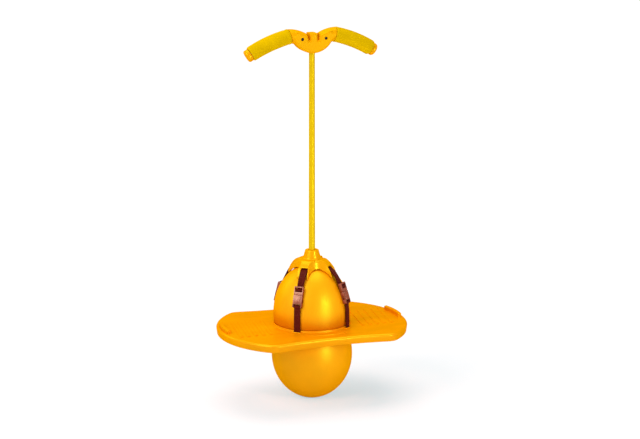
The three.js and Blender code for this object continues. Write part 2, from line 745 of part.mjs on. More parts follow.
function makeHub() {
  const sides = [1, -1];
  const sleeves = sides.map((side) => {
    const joint = new ArmCurve(side, 0, 1).getPoint(0);
    const inner = new THREE.Vector3(side * SLEEVE_INNER_X, 0, joint.z - SLEEVE_DIP);
    const outer = new THREE.Vector3(side * (ARM_X + SLEEVE_PAST), 0, joint.z);
    const bend = new THREE.Vector3((inner.x + outer.x) / 2, 0, joint.z + PAST);
    return swept(new THREE.QuadraticBezierCurve3(inner, bend, outer), HUB_SLEEVE_R, 0, 8, 3);
  });
  const ends = sides.map((side) => swept(new ArmCurve(side, -GAP, 2 * GRIP_R), 2 * GRIP_R, 0, 4, 1));
  const bores = sides.map((side) => swept(new ArmCurve(side, -ARM_IN_HUB - GAP, PAST), BAR_R + GAP, 0, 6, 1));
  const rodSocket = rod(ROD_FOOT_R + GAP, HUB_BOTTOM - PAST, HUB_BOTTOM + ROD_IN_HUB, 16);
  const screwZ = HUB_BOTTOM + HUB_SCREW_UP;
  const front = -HUB_DEPTH / 2;
  const along = (geometry, side) => geometry.rotateX(-Math.PI / 2).translate(side * HUB_SCREW_X, front, screwZ);
  const screwHoles = sides.flatMap((side) => [
    along(rod(SCREW_R + GAP, -PAST, SCREW_LENGTH + GAP, 8), side),
    along(rod(SCREW_HEAD_R + GAP, -PAST, SCREW_HEAD, 12), side),
  ]);
  const whole = cut(
    cut(join(sidePrism(bowlOutline(), HUB_DEPTH, HUB_EDGE_R, 5), ...sleeves), ...ends),
    ...bores, rodSocket, ...screwHoles,
  );
  const far = 2 * BOWL_R;
  const top = HUB_BOTTOM + far;
  const half = GAP / 2;
  const bottom = HUB_BOTTOM - PAST;
  addPiece('hub_front', common(whole, block(-far, far, -far, -half, bottom, top)), 'moulding');
  addPiece('hub_rear', common(whole, block(-far, far, half, far, bottom, top)), 'moulding');
  sides.forEach((side) => {
    const screw = turned([
      [0, GAP],
      [SCREW_HEAD_R - SCREW_CHAMFER, GAP],
      [SCREW_HEAD_R, GAP + SCREW_CHAMFER],
      [SCREW_HEAD_R, SCREW_HEAD - GAP],
      [SCREW_R, SCREW_HEAD - GAP],
      [SCREW_R, SCREW_LENGTH - SCREW_R],
      [0, SCREW_LENGTH],
    ], 8);
    addPiece(side > 0 ? 'hub_screw_right' : 'hub_screw_left', along(screw, side), 'steel');
  });
}

function makeArm(side, hand) {
  const boreR = BAR_R - BAR_WALL;
  const bar = swept(new ArmCurve(side, -ARM_IN_HUB, GRIP_LENGTH), BAR_R, boreR, 6, 6);
  addPiece(`${hand}_handlebar`, bar, 'steel');
  const grip = swept(new ArmCurve(side, 0, GRIP_LENGTH), GRIP_R, BAR_R + GAP, GRIP_SIDES / 2, 6);
  addPiece(`${hand}_grip`, grip, 'foam');

  const end = new ArmCurve(side, 0, GRIP_LENGTH);
  const tangent = end.getTangentAt(1);
  const edge = [0, 30, 60, 90].map(radians).map((angle) => [
    CAP_R - CAP_EDGE_R + CAP_EDGE_R * Math.cos(angle),
    CAP_LENGTH - CAP_EDGE_R + CAP_EDGE_R * Math.sin(angle),
  ]);
  const plugR = boreR - CAP_PLUG_PLAY;
  const cap = turned([
    [0, -CAP_PLUG],
    [plugR - CAP_PLUG_CHAMFER, -CAP_PLUG],
    [plugR, CAP_PLUG_CHAMFER - CAP_PLUG],
    [plugR, GAP],
    [CAP_R, GAP],
    ...edge,
    [0, CAP_LENGTH],
  ], 16);
  const turn = new THREE.Quaternion().setFromUnitVectors(new THREE.Vector3(0, 0, 1), tangent);
  cap.applyQuaternion(turn).translate(...end.getPoint(1).toArray());
  addPiece(`${hand}_end_cap`, cap, 'moulding');
}

// Buckles: heights in the buckle's frame, from the mouth of the socket at z = 0
const socketFoot = -SOCKET_LENGTH - STRAP_END_LENGTH;
const lockTop = SHOULDER_LENGTH + LADDER_LENGTH;
const strapBarZ = socketFoot + BUCKLE_BAR_R;
const ladderBarZ = SHOULDER_LENGTH + LADDER_BAR_R + GAP + STRAP_THICK + GAP;
const lipZ = lockTop - LADDER_LIP_R;
const cavityHalf = BUCKLE_WIDTH / 2 - SOCKET_WALL;
const cavityFace = BUCKLE_THICK / 2 - SOCKET_FACE;
const railWidth = BUCKLE_WIDTH / 2 - slotHalf;
const latchTop = -GAP;

// Where a buckle's frame stands in the plane of its strap, from the drop of its foot below the ball's top
function buckleStand(drop, out, degrees) {
  const lean = radians(degrees);
  const cos = Math.cos(lean);
  const sin = Math.sin(lean);
  const footZ = BALL_TOP - drop;
  const mouth = new THREE.Vector2(ballRadiusAt(footZ) + out + socketFoot * sin, footZ - socketFoot * cos);
  const point = (x, z) => new THREE.Vector2(mouth.x + x * cos - z * sin, mouth.y + x * sin + z * cos);
  return { lean, mouth, point };
}

const frontStand = buckleStand(BUCKLE_DROP, BUCKLE_FOOT_OUT, BUCKLE_LEAN);
const rearStand = buckleStand(REAR_BUCKLE_DROP, REAR_BUCKLE_FOOT_OUT, REAR_BUCKLE_LEAN);

function roundedFace(halfWidth, low, high, radius) {
  const outline = new THREE.Shape();
  outline.absarc(-halfWidth + radius, low + radius, radius, Math.PI, 1.5 * Math.PI);
  outline.absarc(halfWidth - radius, low + radius, radius, 1.5 * Math.PI, 2 * Math.PI);
  outline.absarc(halfWidth - radius, high - radius, radius, 0, Math.PI / 2);
  outline.absarc(-halfWidth + radius, high - radius, radius, Math.PI / 2, Math.PI);
  return outline;
}

// Socket half: an open-mouthed box with side windows and a bar for the lower strap
function socketHalf() {
  const half = BUCKLE_WIDTH / 2;
  const shell = facePrism(roundedFace(half, socketFoot, 0, BUCKLE_CORNER_R), BUCKLE_THICK);
  const cavityFoot = latchTop - LATCH_LENGTH - 2 * GAP;
  const windowTop = latchTop - BARB_START + GAP;
  const strapEnd = -SOCKET_LENGTH - GAP;
  const out = BUCKLE_THICK;
  const open = cut(
    shell,
    block(-cavityFace, cavityFace, -cavityHalf, cavityHalf, cavityFoot, PAST),
    block(-cavityFace, cavityFace, -half - PAST, half + PAST, cavityFoot, windowTop),
    block(-out, out, -slotHalf, slotHalf, socketFoot - PAST, strapEnd),
  );
  return join(open, crossBar(BUCKLE_BAR_R, 2 * slotHalf + railWidth, 0, strapBarZ));
}

// Plug half: shoulder, guide tongue and a ladder lock for the adjustable strap
function plugHalf() {
  const half = BUCKLE_WIDTH / 2;
  const faceHalf = BUCKLE_THICK / 2 - GAP;
  const frame = facePrism(roundedFace(half, GAP, lockTop, BUCKLE_CORNER_R), 2 * faceHalf);
  const window = block(-BUCKLE_THICK, BUCKLE_THICK, -slotHalf, slotHalf, SHOULDER_LENGTH, lockTop + PAST);
  const tongueHalf = cavityFace - GAP;
  const tongueFoot = latchTop - LATCH_LENGTH + PAST;
  const tongue = block(-tongueHalf, tongueHalf, -TONGUE_WIDTH / 2, TONGUE_WIDTH / 2, tongueFoot, PAST);
  const barLength = 2 * slotHalf + railWidth;
  const ladder = crossBar(LADDER_BAR_R, barLength, 0, ladderBarZ);
  const lip = crossBar(LADDER_LIP_R, barLength, LADDER_LIP_OUT, lipZ);
  return join(cut(frame, window), tongue, ladder, lip);
}

// Springy latch arm with its barb, which a thumb presses in through the socket's side window
function latchArm(side) {
  const y = (value) => side * value;
  const outer = LATCH_INNER_Y + LATCH_ARM_WIDTH;
  const barbY = BUCKLE_WIDTH / 2 + BARB_PROUD;
  const foot = latchTop - LATCH_LENGTH;
  const barbTop = latchTop - BARB_START;
  const barbFoot = barbTop - BARB_LENGTH;
  const outline = new THREE.Shape();
  outline.moveTo(y(LATCH_INNER_Y), latchTop);
  outline.lineTo(y(outer), latchTop);
  outline.lineTo(y(outer), barbTop);
  outline.lineTo(y(barbY - BARB_EDGE), barbTop);
  outline.quadraticCurveTo(y(barbY + BARB_CROWN), (barbTop + barbFoot) / 2, y(outer + BARB_CROWN), barbFoot);
  outline.lineTo(y(LATCH_INNER_Y + BARB_EDGE), foot);
  outline.lineTo(y(LATCH_INNER_Y), foot + PAST);
  return facePrism(outline, 2 * (cavityFace - GAP));
}

// Webbing along a smooth centreline, with a sewn eye round a bar at each end
function webbing(route, thickness, eyes) {
  const line = new THREE.SplineCurve(route);
  const steps = 2 * route.length;
  const edges = [1, -1].map((side) => line.getPoints(steps).map((point, i) => {
    const tangent = line.getTangent(i / steps);
    const off = (side * thickness) / 2;
    return new THREE.Vector2(point.x - tangent.y * off, point.y + tangent.x * off);
  }));
  const ribbon = sidePrism(new THREE.Shape([...edges[0], ...edges[1].reverse()]), STRAP_WIDTH);
  const rings = eyes.map(({ at, bar }) => crossBar(bar + GAP + STRAP_THICK, STRAP_WIDTH, at.x, at.y));
  const bores = eyes.map(({ at, bar }) => crossBar(bar + GAP, 2 * STRAP_WIDTH, at.x, at.y));
  return cut(join(ribbon, ...rings), ...bores);
}

function upperStrap(stand) {
  const clawBar = new THREE.Vector2(CLAW_BAR_AT, clawBarZ);
  const ladderBar = stand.point(0, ladderBarZ);
  const side = LADDER_BAR_R + GAP + STRAP_THICK;
  const over = CLAW_BAR_R + GAP + STRAP_THICK / 2;
  const route = [
    new THREE.Vector2(clawBar.x + PAST, clawBar.y + over - 2 * GAP),
    new THREE.Vector2(LEG_REACH - STRAP_MOUTH_IN, clawBarZ - STRAP_MOUTH_DROP),
    stand.point(-side - STRAP_SLACK, lockTop + STRAP_LEAD),
    stand.point(-side - 4 * GAP, lockTop + PAST),
    stand.point(-side + STRAP_THICK / 2, ladderBarZ),
  ];
  return webbing(route, 2 * STRAP_THICK - GAP, [
    { at: clawBar, bar: CLAW_BAR_R },
    { at: ladderBar, bar: LADDER_BAR_R },
  ]);
}

function lowerStrap(stand) {
  const buckleBar = stand.point(0, strapBarZ);
  const deckBar = new THREE.Vector2(slotR, deckBarZ);
  const outside = BUCKLE_BAR_R + GAP + STRAP_THICK / 2;
  const besideBall = upperLobeR + 3 * GAP + STRAP_THICK;
  const top = new THREE.Vector2(buckleBar.x, buckleBar.y - outside);
  const slot = new THREE.Vector2(slotR, DECK_TOP + SLOT_FRAME_RISE);
  const route = [
    top,
    ...STRAP_BENDS.map((share) => new THREE.Vector2(besideBall + GAP, THREE.MathUtils.lerp(slot.y, top.y, share))),
    slot,
    new THREE.Vector2(slotR, deckBarZ + DECK_BAR_R + GAP + STRAP_THICK / 2),
  ];
  return webbing(route, STRAP_THICK, [
    { at: buckleBar, bar: BUCKLE_BAR_R },
    { at: deckBar, bar: DECK_BAR_R },
  ]);
}

function makeStrap(angle, number) {
  const plane = strapPlane(angle);
  const stand = angle < 180 ? rearStand : frontStand;
  addPiece(`upper_strap_${number}`, upperStrap(stand), 'webbing', plane);
  addPiece(`lower_strap_${number}`, lowerStrap(stand), 'webbing', plane);
  const buckle = new THREE.Group();
  buckle.position.set(stand.mouth.x, 0, stand.mouth.y);
  buckle.rotation.y = -stand.lean;
  plane.add(buckle);
  addPiece(`buckle_${number}_socket`, socketHalf(), 'buckle', buckle);
  addPiece(`buckle_${number}_plug`, plugHalf(), 'buckle', buckle);
  addPiece(`buckle_${number}_latch_a`, latchArm(1), 'buckle', buckle);
  addPiece(`buckle_${number}_latch_b`, latchArm(-1), 'buckle', buckle);
}

makeBall();
makeValve();
makeDeck();
makeClaw();
makeRod();
makeHub();
makeArm(-1, 'left');
makeArm(1, 'right');
STRAP_ANGLES.forEach((angle, i) => makeStrap(angle, i + 1));

export default group;
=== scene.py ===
"""Pogo ball with a T-handle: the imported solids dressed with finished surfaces."""

import json
import math
from contextlib import contextmanager
from functools import partial

import bmesh
import bpy
import numpy as np
from bpy.props import FloatProperty, FloatVectorProperty, IntProperty, PointerProperty
from mathutils import Matrix, Vector


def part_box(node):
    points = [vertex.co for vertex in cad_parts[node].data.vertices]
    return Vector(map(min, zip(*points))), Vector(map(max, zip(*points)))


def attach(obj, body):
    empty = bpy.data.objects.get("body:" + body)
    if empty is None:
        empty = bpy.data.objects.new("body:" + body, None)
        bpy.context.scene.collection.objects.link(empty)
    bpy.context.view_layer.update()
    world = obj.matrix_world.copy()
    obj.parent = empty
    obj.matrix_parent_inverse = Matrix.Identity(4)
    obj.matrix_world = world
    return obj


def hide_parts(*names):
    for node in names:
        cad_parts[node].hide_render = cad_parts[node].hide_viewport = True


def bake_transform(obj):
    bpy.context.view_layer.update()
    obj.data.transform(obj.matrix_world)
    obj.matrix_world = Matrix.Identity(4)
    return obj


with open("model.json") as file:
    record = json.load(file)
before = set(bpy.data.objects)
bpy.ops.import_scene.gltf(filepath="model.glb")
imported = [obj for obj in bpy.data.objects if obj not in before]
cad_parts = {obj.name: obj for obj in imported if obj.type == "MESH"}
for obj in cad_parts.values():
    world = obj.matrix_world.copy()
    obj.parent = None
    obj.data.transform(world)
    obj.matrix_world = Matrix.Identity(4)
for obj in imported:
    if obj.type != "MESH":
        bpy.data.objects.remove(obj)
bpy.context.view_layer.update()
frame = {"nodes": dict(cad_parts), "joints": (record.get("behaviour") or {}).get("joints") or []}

bl_info = {
    "name": "Pogo Ball",
    "version": (1, 0, 0),
    "blender": (4, 5, 0),
    "location": "View3D > Sidebar > Pogo Ball",
    "description": "Dresses the solids of a pogo ball with finished surfaces",
    "category": "Object",
}

MM = 0.001
CLEARANCE = 0.3 * MM
SIDES = (("left", -1), ("right", 1))
STRAP_NUMBERS = (1, 2, 3, 4)
RIB_DEGREES = (0, 22, 68, 90, 112, 158, 180, 202, 248, 270, 292, 338)
PHOTO_WIDTH = 640
SENSOR_WIDTH = 36.0
GOLD = (1.0, 0.8, 0.03, 1.0)
PINK = (1.0, 0.6, 0.42, 1.0)
NO_WHITE = {"Specular IOR Level": 0.0}
TIP = 0.05 * MM
POINT_WELD = 1e-7
SOLID_WELD = 1e-6
FLAT = math.radians(3)
CREASE = math.radians(35)
FULL_TURN = 2 * math.pi
QUARTER_TURN = math.pi / 2
DOWN_EDGE = np.radians((90, 60, 30, 0))
UP_EDGE = DOWN_EDGE[::-1]


def length(name, millimetres, description):
    """Property for a real size, written in millimetres."""
    return FloatProperty(
        name=name, description=description, default=millimetres * MM, unit="LENGTH", precision=4
    )


def angle(name, degrees, description):
    """Property for an angle, written in degrees."""
    return FloatProperty(
        name=name, description=description, default=math.radians(degrees), unit="ROTATION"
    )


def linear(code):
    """Linear red, green and blue of a six-digit colour code."""
    parts = [int(code[i : i + 2], 16) / 255 for i in (0, 2, 4)]
    return tuple(p / 12.92 if p <= 0.04045 else ((p + 0.055) / 1.055) ** 2.4 for p in parts)


def colour(name, code, description):
    """Property for a colour, written as a six-digit code."""
    return FloatVectorProperty(
        name=name,
        description=description,
        default=linear(code),
        size=3,
        min=0,
        max=1,
        subtype="COLOR",
    )


class PogoBallSizes(bpy.types.PropertyGroup):
    """Sizes of the inflated ball and its valve."""

    top: length("Top", 302, "Height of the top of the upper lobe")
    lower_lobe: length("Lower lobe", 98, "Height of the widest part below the deck")
    upper_lobe: length("Upper lobe", 194, "Height of the widest part above the deck")
    lower_bulge: length("Lower bulge", 10, "How far the lower lobe stands out past the waist")
    upper_bulge: length("Upper bulge", 2, "How far the upper lobe stands out past the collar")
    patch: length("Contact patch", 20, "Radius of the flat on the ground")
    valve_height: length("Valve height", 232, "Height of the valve on the back")
    valve_flange: length("Valve flange", 7, "Radius of the valve's flange")


class PogoDeckSizes(bpy.types.PropertyGroup):
    """Sizes of the foot deck."""

    top: length("Top", 168, "Height of the standing face")
    depth: length("Depth", 17.5, "Height of the rim")
    half_length: length("Half length", 214, "From the middle to the end of the deck")
    half_waist: length("Half waist", 136, "From the middle to the waisted side")
    end_radius: length("End arc", 185, "Radius of the end arcs")
    side_radius: length("Side arc", 700, "Radius of the hollow sides")
    corner_radius: length("Corner", 28, "Radius of the rounded corners")
    plate: length("Plate", 3.5, "Thickness of the plate")
    rim_wall: length("Rim wall", 4, "Thickness of the rim")
    rim_draft: length("Rim draft", 1.6, "How far the rim draws in at its foot")
    rim_edge: length("Rim edge", 5, "Radius of the rim's top edge")
    hole: length("Hole", 80, "Radius of the hole for the ball")
    collar_wall: length("Collar wall", 3, "Thickness of the collar at its top")
    collar_rise: length("Collar rise", 4, "Height of the collar above the deck")
    collar_chamfer: length("Collar chamfer", 4, "Flare inside the collar's top")
    rib_width: length("Rib width", 2.6, "Thickness of the ribs below")
    rib_recess: length("Rib recess", 5, "How far the ribs end above the rim's foot")
    lip_inset: length("Toe lip inset", 7, "From the deck's end to the toe lip")
    lip_width: length("Toe lip width", 8, "Thickness of the toe lips")
    lip_height: length("Toe lip height", 8.5, "Height of the toe lips")
    lip_span: angle("Toe lip span", 23.5, "Arc that each toe lip covers")
    lip_back: angle("Toe lip back", 4, "How far the toe lips stand towards the back")
    tread_count: IntProperty(name="Tread bars", description="Bars on each side", default=5, min=1)
    tread_height: length("Tread height", 1.2, "Height of the raised bars")
    tread_width: length("Tread width", 7, "Width of the raised bars")
    tread_length: length("Tread length", 120, "Length of the bars across the deck")
    tread_start: length("Tread start", 108, "From the middle to the first bar")
    tread_pitch: length("Tread pitch", 17, "From one bar to the next")
    tread_margin: length("Tread margin", 14, "Free edge that the bars keep")
    tread_slant: angle("Tread slant", 8, "Slant of the bars")
    arc_radius: length("Ring bar radius", 108, "Radius of the two bars beside the ball")
    arc_width: length("Ring bar width", 8, "Width of the two bars beside the ball")
    arc_span: angle("Ring bar span", 46, "Arc that each of them covers")
    slot_depth: length("Slot depth", 3.2, "Opening of the strap slots")
    slot_half: length("Slot half width", 8.3, "Half width of the strap slots")
    slot_frame: length("Slot frame", 3, "Width of the frame round each slot")
    slot_rise: length("Slot frame rise", 1.6, "Height of the frame above the deck")
    slot_stand: length("Slot stand-off", 3.5, "From the upper lobe to the slot")
    bar_radius: length("Strap bar", 2.5, "Radius of the bar under each slot")
    bar_drop: length("Strap bar drop", 10.5, "From the deck's top down to the bar")


class PogoClawSizes(bpy.types.PropertyGroup):
    """Sizes of the claw and the rod in it."""

    seat: length("Seat", 0.6, "Gap between the claw and the ball")
    web_radius: length("Web", 46, "Radius of the dome between the legs")
    web_lift: length("Web lift", 2.2, "How far the dome clears the legs' seat")
    neck_base: length("Neck foot", 19.4, "Radius of the neck at its foot")
    neck_top: length("Neck top", 15.5, "Radius of the neck at its top")
    neck_edge: length("Neck edge", 2, "Rounding of the neck's top")
    neck_up: length("Neck up", 14, "From the ball's top to the neck's foot")
    neck_height: length("Neck height", 19.5, "Height of the neck")
    shoulder: length("Shoulder", 26, "Radius at which the legs begin to fall")
    shoulder_ease: length("Shoulder ease", 10, "Roundness of the shoulder")
    dome_bulge: FloatProperty(
        name="Dome bulge", description="Roundness of the dome", default=0.6, min=0, max=1
    )
    leg_reach: length("Leg reach", 54, "Radius of the leg tips")
    leg_roof: length("Leg roof", 43.5, "Radius at which the strap comes out")
    leg_width: length("Leg width", 30, "Width of the legs")
    leg_tip: length("Leg tip", 5, "Thickness of the leg tips")
    leg_ease_in: length("Leg ease in", 5, "How steeply the legs end")
    leg_ease_up: length("Leg ease up", 16.5, "Roundness of the legs")
    arch_radius: length("Arch", 33, "Radius of the arches between the legs")
    arch_apex: length("Arch apex", 33, "From the axis to the arches")
    arch_draft: angle("Arch draft", 14, "Slope of the arches' faces")
    rear_arch: length("Rear arch", 25, "Radius of the arch at the back")
    rear_apex: length("Rear arch apex", 37, "From the axis to the arch at the back")
    bar_radius: length("Strap bar", 2.5, "Radius of the bar in each leg")
    bar_at: length("Strap bar at", 38, "From the axis to the bar")
    pocket: length("Pocket", 5.2, "From the seat up to the bar")
    rod_foot: length("Rod foot", 7.25, "Radius of the rod at the claw")
    rod_head: length("Rod head", 6.5, "Radius of the rod at the hub")


class PogoHandleSizes(bpy.types.PropertyGroup):
    """Sizes of the hub, the grips and the end caps."""

    hub_bottom: length("Hub bottom", 774, "Height of the lowest point of the hub")
    bowl_radius: length("Bowl", 48, "Radius of the hub's bowl")
    bowl_half: length("Bowl half width", 45, "Half width of the bowl")
    hub_depth: length("Hub depth", 31, "Front to back")
    hub_edge: length("Hub edge", 4.5, "Rounding of the hub's edges")
    arm_top: length("Arm top", 50, "Height of the hub's arms above its bottom")
    arm_dip: length("Arm dip", 8, "How far the arms fall towards the middle")
    notch_round: length("Notch round", 8, "Rounding beside the notches")
    notch_top: length("Notch top", 13, "From the middle to the notch's top")
    notch_foot: length("Notch foot", 11.5, "From the middle to the notch's foot")
    notch_up: length("Notch up", 28, "Height of the notch's foot")
    block_half: length("Block half", 8.5, "Half width of the middle block")
    block_foot: length("Block foot", 9, "Half width of the middle block's foot")
    block_top: length("Block top", 44, "Height of the middle block")
    sleeve_radius: length("Sleeve", 15.6, "Radius of the sleeves round the arms")
    sleeve_inner: length("Sleeve inner end", 21, "From the middle to the sleeve's inner end")
    sleeve_dip: length("Sleeve dip", 9, "How far the sleeves fall towards the middle")
    screw_x: length("Screw", 27, "From the middle to the screws")
    screw_up: length("Screw up", 32, "Height of the screws")
    screw_head: length("Screw head", 3.2, "Radius of the screw heads")
    arm_x: length("Arm start", 51, "From the middle to the grips")
    arm_up: length("Arm up", 38, "Height of the arms at the grips")
    arm_radius: length("Arm arc", 300, "Radius of the drooping arms")
    arm_droop: angle("Arm droop", 13, "Slope of the arms at the hub")
    arm_sweep: angle("Arm sweep", 4, "How far the arms turn back")
    bar_radius: length("Bar", 11, "Radius of the tubes in the grips")
    grip_radius: length("Grip", 17, "Radius of the foam")
    grip_length: length("Grip length", 95, "Length of the foam")
    cap_radius: length("Cap", 14, "Radius of the end caps")
    cap_length: length("Cap length", 11, "How far the end caps stand out")
    cap_edge: length("Cap edge", 4, "Rounding of the end caps")


class PogoStrapSizes(bpy.types.PropertyGroup):
    """Sizes of the webbing and of what it runs round."""

    width: length("Width", 15, "Width of the webbing")
    thick: length("Thickness", 1.6, "Thickness of the webbing")
    mouth_in: length("Mouth in", 2, "Where the strap leaves the leg")
    mouth_drop: length("Mouth drop", 4.5, "How far the strap falls to there")
    lead: length("Lead", 12, "Length above the ladder lock")
    slack: length("Slack", 3, "How far that length stands in from the lock")
    ladder_bar: length("Ladder bar", 1.9, "Radius of the bar in the ladder lock")
    ladder_bar_up: length("Ladder bar up", 11.1, "Its height above the socket's mouth")
    lock_top: length("Lock top", 19.5, "Height of the lock above the socket's mouth")
    buckle_bar: length("Buckle bar", 2.1, "Radius of the bar in the socket")
    buckle_bar_down: length("Buckle bar down", 24.9, "Its depth below the socket's mouth")
    stitch: length("Stitch", 1.9, "Length of one stitch")
    thread: length("Thread", 0.55, "Thickness of the thread")


class PogoBuckleSizes(bpy.types.PropertyGroup):
    """Sizes of what is added to the solid buckles."""

    thick: length("Thickness", 8, "Front to back")
    edge: length("Edge", 0.35, "Rounding of all edges")
    panel_half: length("Panel half width", 6.8, "Half width of the raised panel")
    panel_low: length("Panel foot", 17.6, "Depth of its foot below the socket's mouth")
    panel_high: length("Panel top", 2.4, "Depth of its top below the socket's mouth")
    panel_rise: length("Panel rise", 0.6, "Height of the raised panel")
    ridge: length("Ridge", 0.4, "Radius of the finger ridges")
    ridge_half: length("Ridge half length", 2.1, "Half length of the finger ridges")
    ridge_out: length("Ridge out", 10.7, "From the middle of the buckle to the ridges")
    ridge_start: length("Ridge start", 8.8, "Depth of the first ridge below the socket's mouth")
    ridge_pitch: length("Ridge pitch", 1.5, "From one ridge to the next")
    ridge_count: IntProperty(name="Ridges", description="Ridges on each latch", default=4, min=0)


class PogoFinishes(bpy.types.PropertyGroup):
    """Colours of the finishes."""

    vinyl: colour("Vinyl", "f09200", "Skin of the ball")
    deck: colour("Deck", "ec8a00", "Plastic of the deck")
    moulding: colour("Moulding", "eb9700", "Plastic of the claw and the caps")
    hub: colour("Hub", "eb9f00", "Plastic of the hub")
    paint: colour("Paint", "d1aa03", "Paint of the rod")
    foam: colour("Foam", "d7ad02", "Foam of the grips")
    webbing: colour("Webbing", "5c170d", "Yarn of the straps")
    thread: colour("Thread", "7d2c1d", "Thread of the seams")
    buckle: colour("Buckle", "7c2a16", "Plastic of the buckles")
    rubber: colour("Rubber", "d98a10", "Rubber of the valve")
    steel: colour("Steel", "b9bbbd", "Zinc plate of the tubes")
    black: colour("Black steel", "1c1714", "Blackened steel of the screws")
    floor: colour("Floor", "eeeeee", "Floor under the toy")


class PogoStageSizes(bpy.types.PropertyGroup):
    """Camera and light."""

    azimuth: angle("Azimuth", -20.5, "Turn of the camera from the front")
    elevation: angle("Elevation", 12.8, "Height of the camera above the horizon")
    distance: length("Distance", 5000, "From the camera to the rod")
    aim: length("Aim", 420, "Height that the camera aims at")
    scale: length("Scale", 2.2, "Size of a picture point at the rod")
    shift_x: FloatProperty(name="Shift X", description="Picture points to the left", default=8.1)
    shift_y: FloatProperty(name="Shift Y", description="Picture points up", default=7.52)


GROUPS = {
    "pogo_ball": PogoBallSizes,
    "pogo_deck": PogoDeckSizes,
    "pogo_claw": PogoClawSizes,
    "pogo_handle": PogoHandleSizes,
    "pogo_straps": PogoStrapSizes,
    "pogo_buckles": PogoBuckleSizes,
    "pogo_finishes": PogoFinishes,
    "pogo_stage": PogoStageSizes,
}


class Wire:
    """A socket that takes arithmetic: each operator adds a Math node behind it."""

    def __init__(self, nodes, socket):
        self.nodes = nodes
        self.socket = socket

    def __add__(self, other):
        return self.nodes.maths("ADD", self, other)

    def __radd__(self, other):
        return self.nodes.maths("ADD", other, self)

    def __sub__(self, other):
        return self.nodes.maths("SUBTRACT", self, other)

    def __mul__(self, other):
        return self.nodes.maths("MULTIPLY", self, other)

    def __rmul__(self, other):
        return self.nodes.maths("MULTIPLY", other, self)

    def __truediv__(self, other):
        return self.nodes.maths("DIVIDE", self, other)

    def beside(self, output):
        """Another output of the same node."""
        return Wire(self.nodes, self.socket.node.outputs[output])


class Nodes:
    """A node tree, and the one method that adds nodes to it."""

    def __init__(self, tree):
        self.tree = tree

    def node(self, kind, settings=None, sockets=None, output=0):
        """Any node: its settings are set first, then the values or links of its sockets."""
        made = self.tree.nodes.new(kind)
        for key, value in (settings or {}).items():
            setattr(made, key, value)
        for key, value in (sockets or {}).items():
            if isinstance(value, Wire):
                self.tree.links.new(value.socket, made.inputs[key])
            else:
                made.inputs[key].default_value = value
        return Wire(self, made.outputs[output]) if made.outputs else None

    def maths(self, operation, first, second=0.0):
        return self.node("ShaderNodeMath", {"operation": operation}, {0: first, 1: second})


class Finish(Nodes):
    """The nodes of a material or of the world."""

    def __init__(self, owner):
        self.owner = owner
        owner.use_nodes = True
        super().__init__(owner.node_tree)
        self.tree.nodes.clear()

    def place(self, scale=(1, 1, 1)):
        """Object coordinates, stretched."""
        here = self.node("ShaderNodeTexCoord", output="Object")
        return self.node("ShaderNodeMapping", None, {"Vector": here, "Scale": scale}, "Vector")

    def noise(self, where, scale, detail=2.0):
        sockets = {"Vector": where, "Scale": scale, "Detail": detail}
        return self.node("ShaderNodeTexNoise", None, sockets)

    def between(self, low, high, value):
        """Value eased from 0 at low to 1 at high."""
        sockets = {"Value": value, "From Min": low, "From Max": high}
        return self.node("ShaderNodeMapRange", {"interpolation_type": "SMOOTHSTEP"}, sockets)

    def mix(self, share, first, second):
        """Colour between two others."""
        pair = [c if isinstance(c, Wire) else (*c, 1.0) for c in (first, second)]
        return self.node("ShaderNodeMix", {"data_type": "RGBA"}, {0: share, 6: pair[0], 7: pair[1]}, 2)

    def shades(self, value, tone, dark, light, low=0.3, high=0.7):
        """A tone that goes from a darker to a lighter shade as a value rises."""
        return self.mix(self.between(low, high, value), shade(tone, dark), shade(tone, light))

    def close(self, base, roughness, relief=None, depth=0.0, constants=None, gloss=None):
        """Ends the material in a Principled shader.

        Relief has a depth in metres, and gloss is the share and the colour of a gloss that isn't white.
        """
        skin = {"Roughness": roughness}
        if relief is not None:
            bump = {"Height": relief, "Strength": 1.0, "Distance": depth}
            skin["Normal"] = self.node("ShaderNodeBump", None, bump)
        surface = {"Base Color": base, **skin, **(constants or {})}
        surface = self.node("ShaderNodeBsdfPrincipled", None, surface)
        if gloss:
            share, tint = gloss
            shine = {"Base Color": tint, "Specular Tint": tint, "Metallic": 1.0, **skin}
            shine = self.node("ShaderNodeBsdfPrincipled", None, shine)
            surface = self.node("ShaderNodeMixShader", None, {0: share, 1: surface, 2: shine})
        self.node("ShaderNodeOutputMaterial", None, {"Surface": surface})
        return self.owner

    def seen(self):
        """1 where the camera sees a surface, straight or by a gloss, and 0 where light bounces off."""
        path = self.node("ShaderNodeLightPath", output="Is Camera Ray")
        for other in ("Is Glossy Ray", "Is Transmission Ray"):
            path = self.maths("MAXIMUM", path, self.node("ShaderNodeLightPath", output=other))
        return path


def material(name):
    """Nodes of a new material."""
    return Finish(bpy.data.materials.new(name))


def shade(tone, factor):
    """A colour made darker or lighter."""
    return tuple(min(1.0, c * factor) for c in tone)


def clouded(name, tone, shades, clouds, ripples, rough, depth, gloss):
    """Moulded plastic: faint clouds in its colour and gloss, and a slight ripple."""
    f = material(name)
    here = f.place()
    cloud = f.noise(here, *clouds)
    ripple = f.noise(here, ripples, detail=1.0)
    base = f.shades(cloud, tone, *shades)
    return f.close(base, rough[0] + rough[1] * cloud, ripple, depth, NO_WHITE, gloss)


def grained(name, tone, shades, grains, rough, depth, constants=None, stretch=1.0):
    """Surface with one fine grain in its colour, gloss and relief."""
    f = material(name)
    grain = f.noise(f.place((1.0, 1.0, stretch)), *grains)
    base = f.mix(grain, shade(tone, shades[0]), shade(tone, shades[1]))
    return f.close(base, rough[0] + rough[1] * grain, grain, depth, constants)


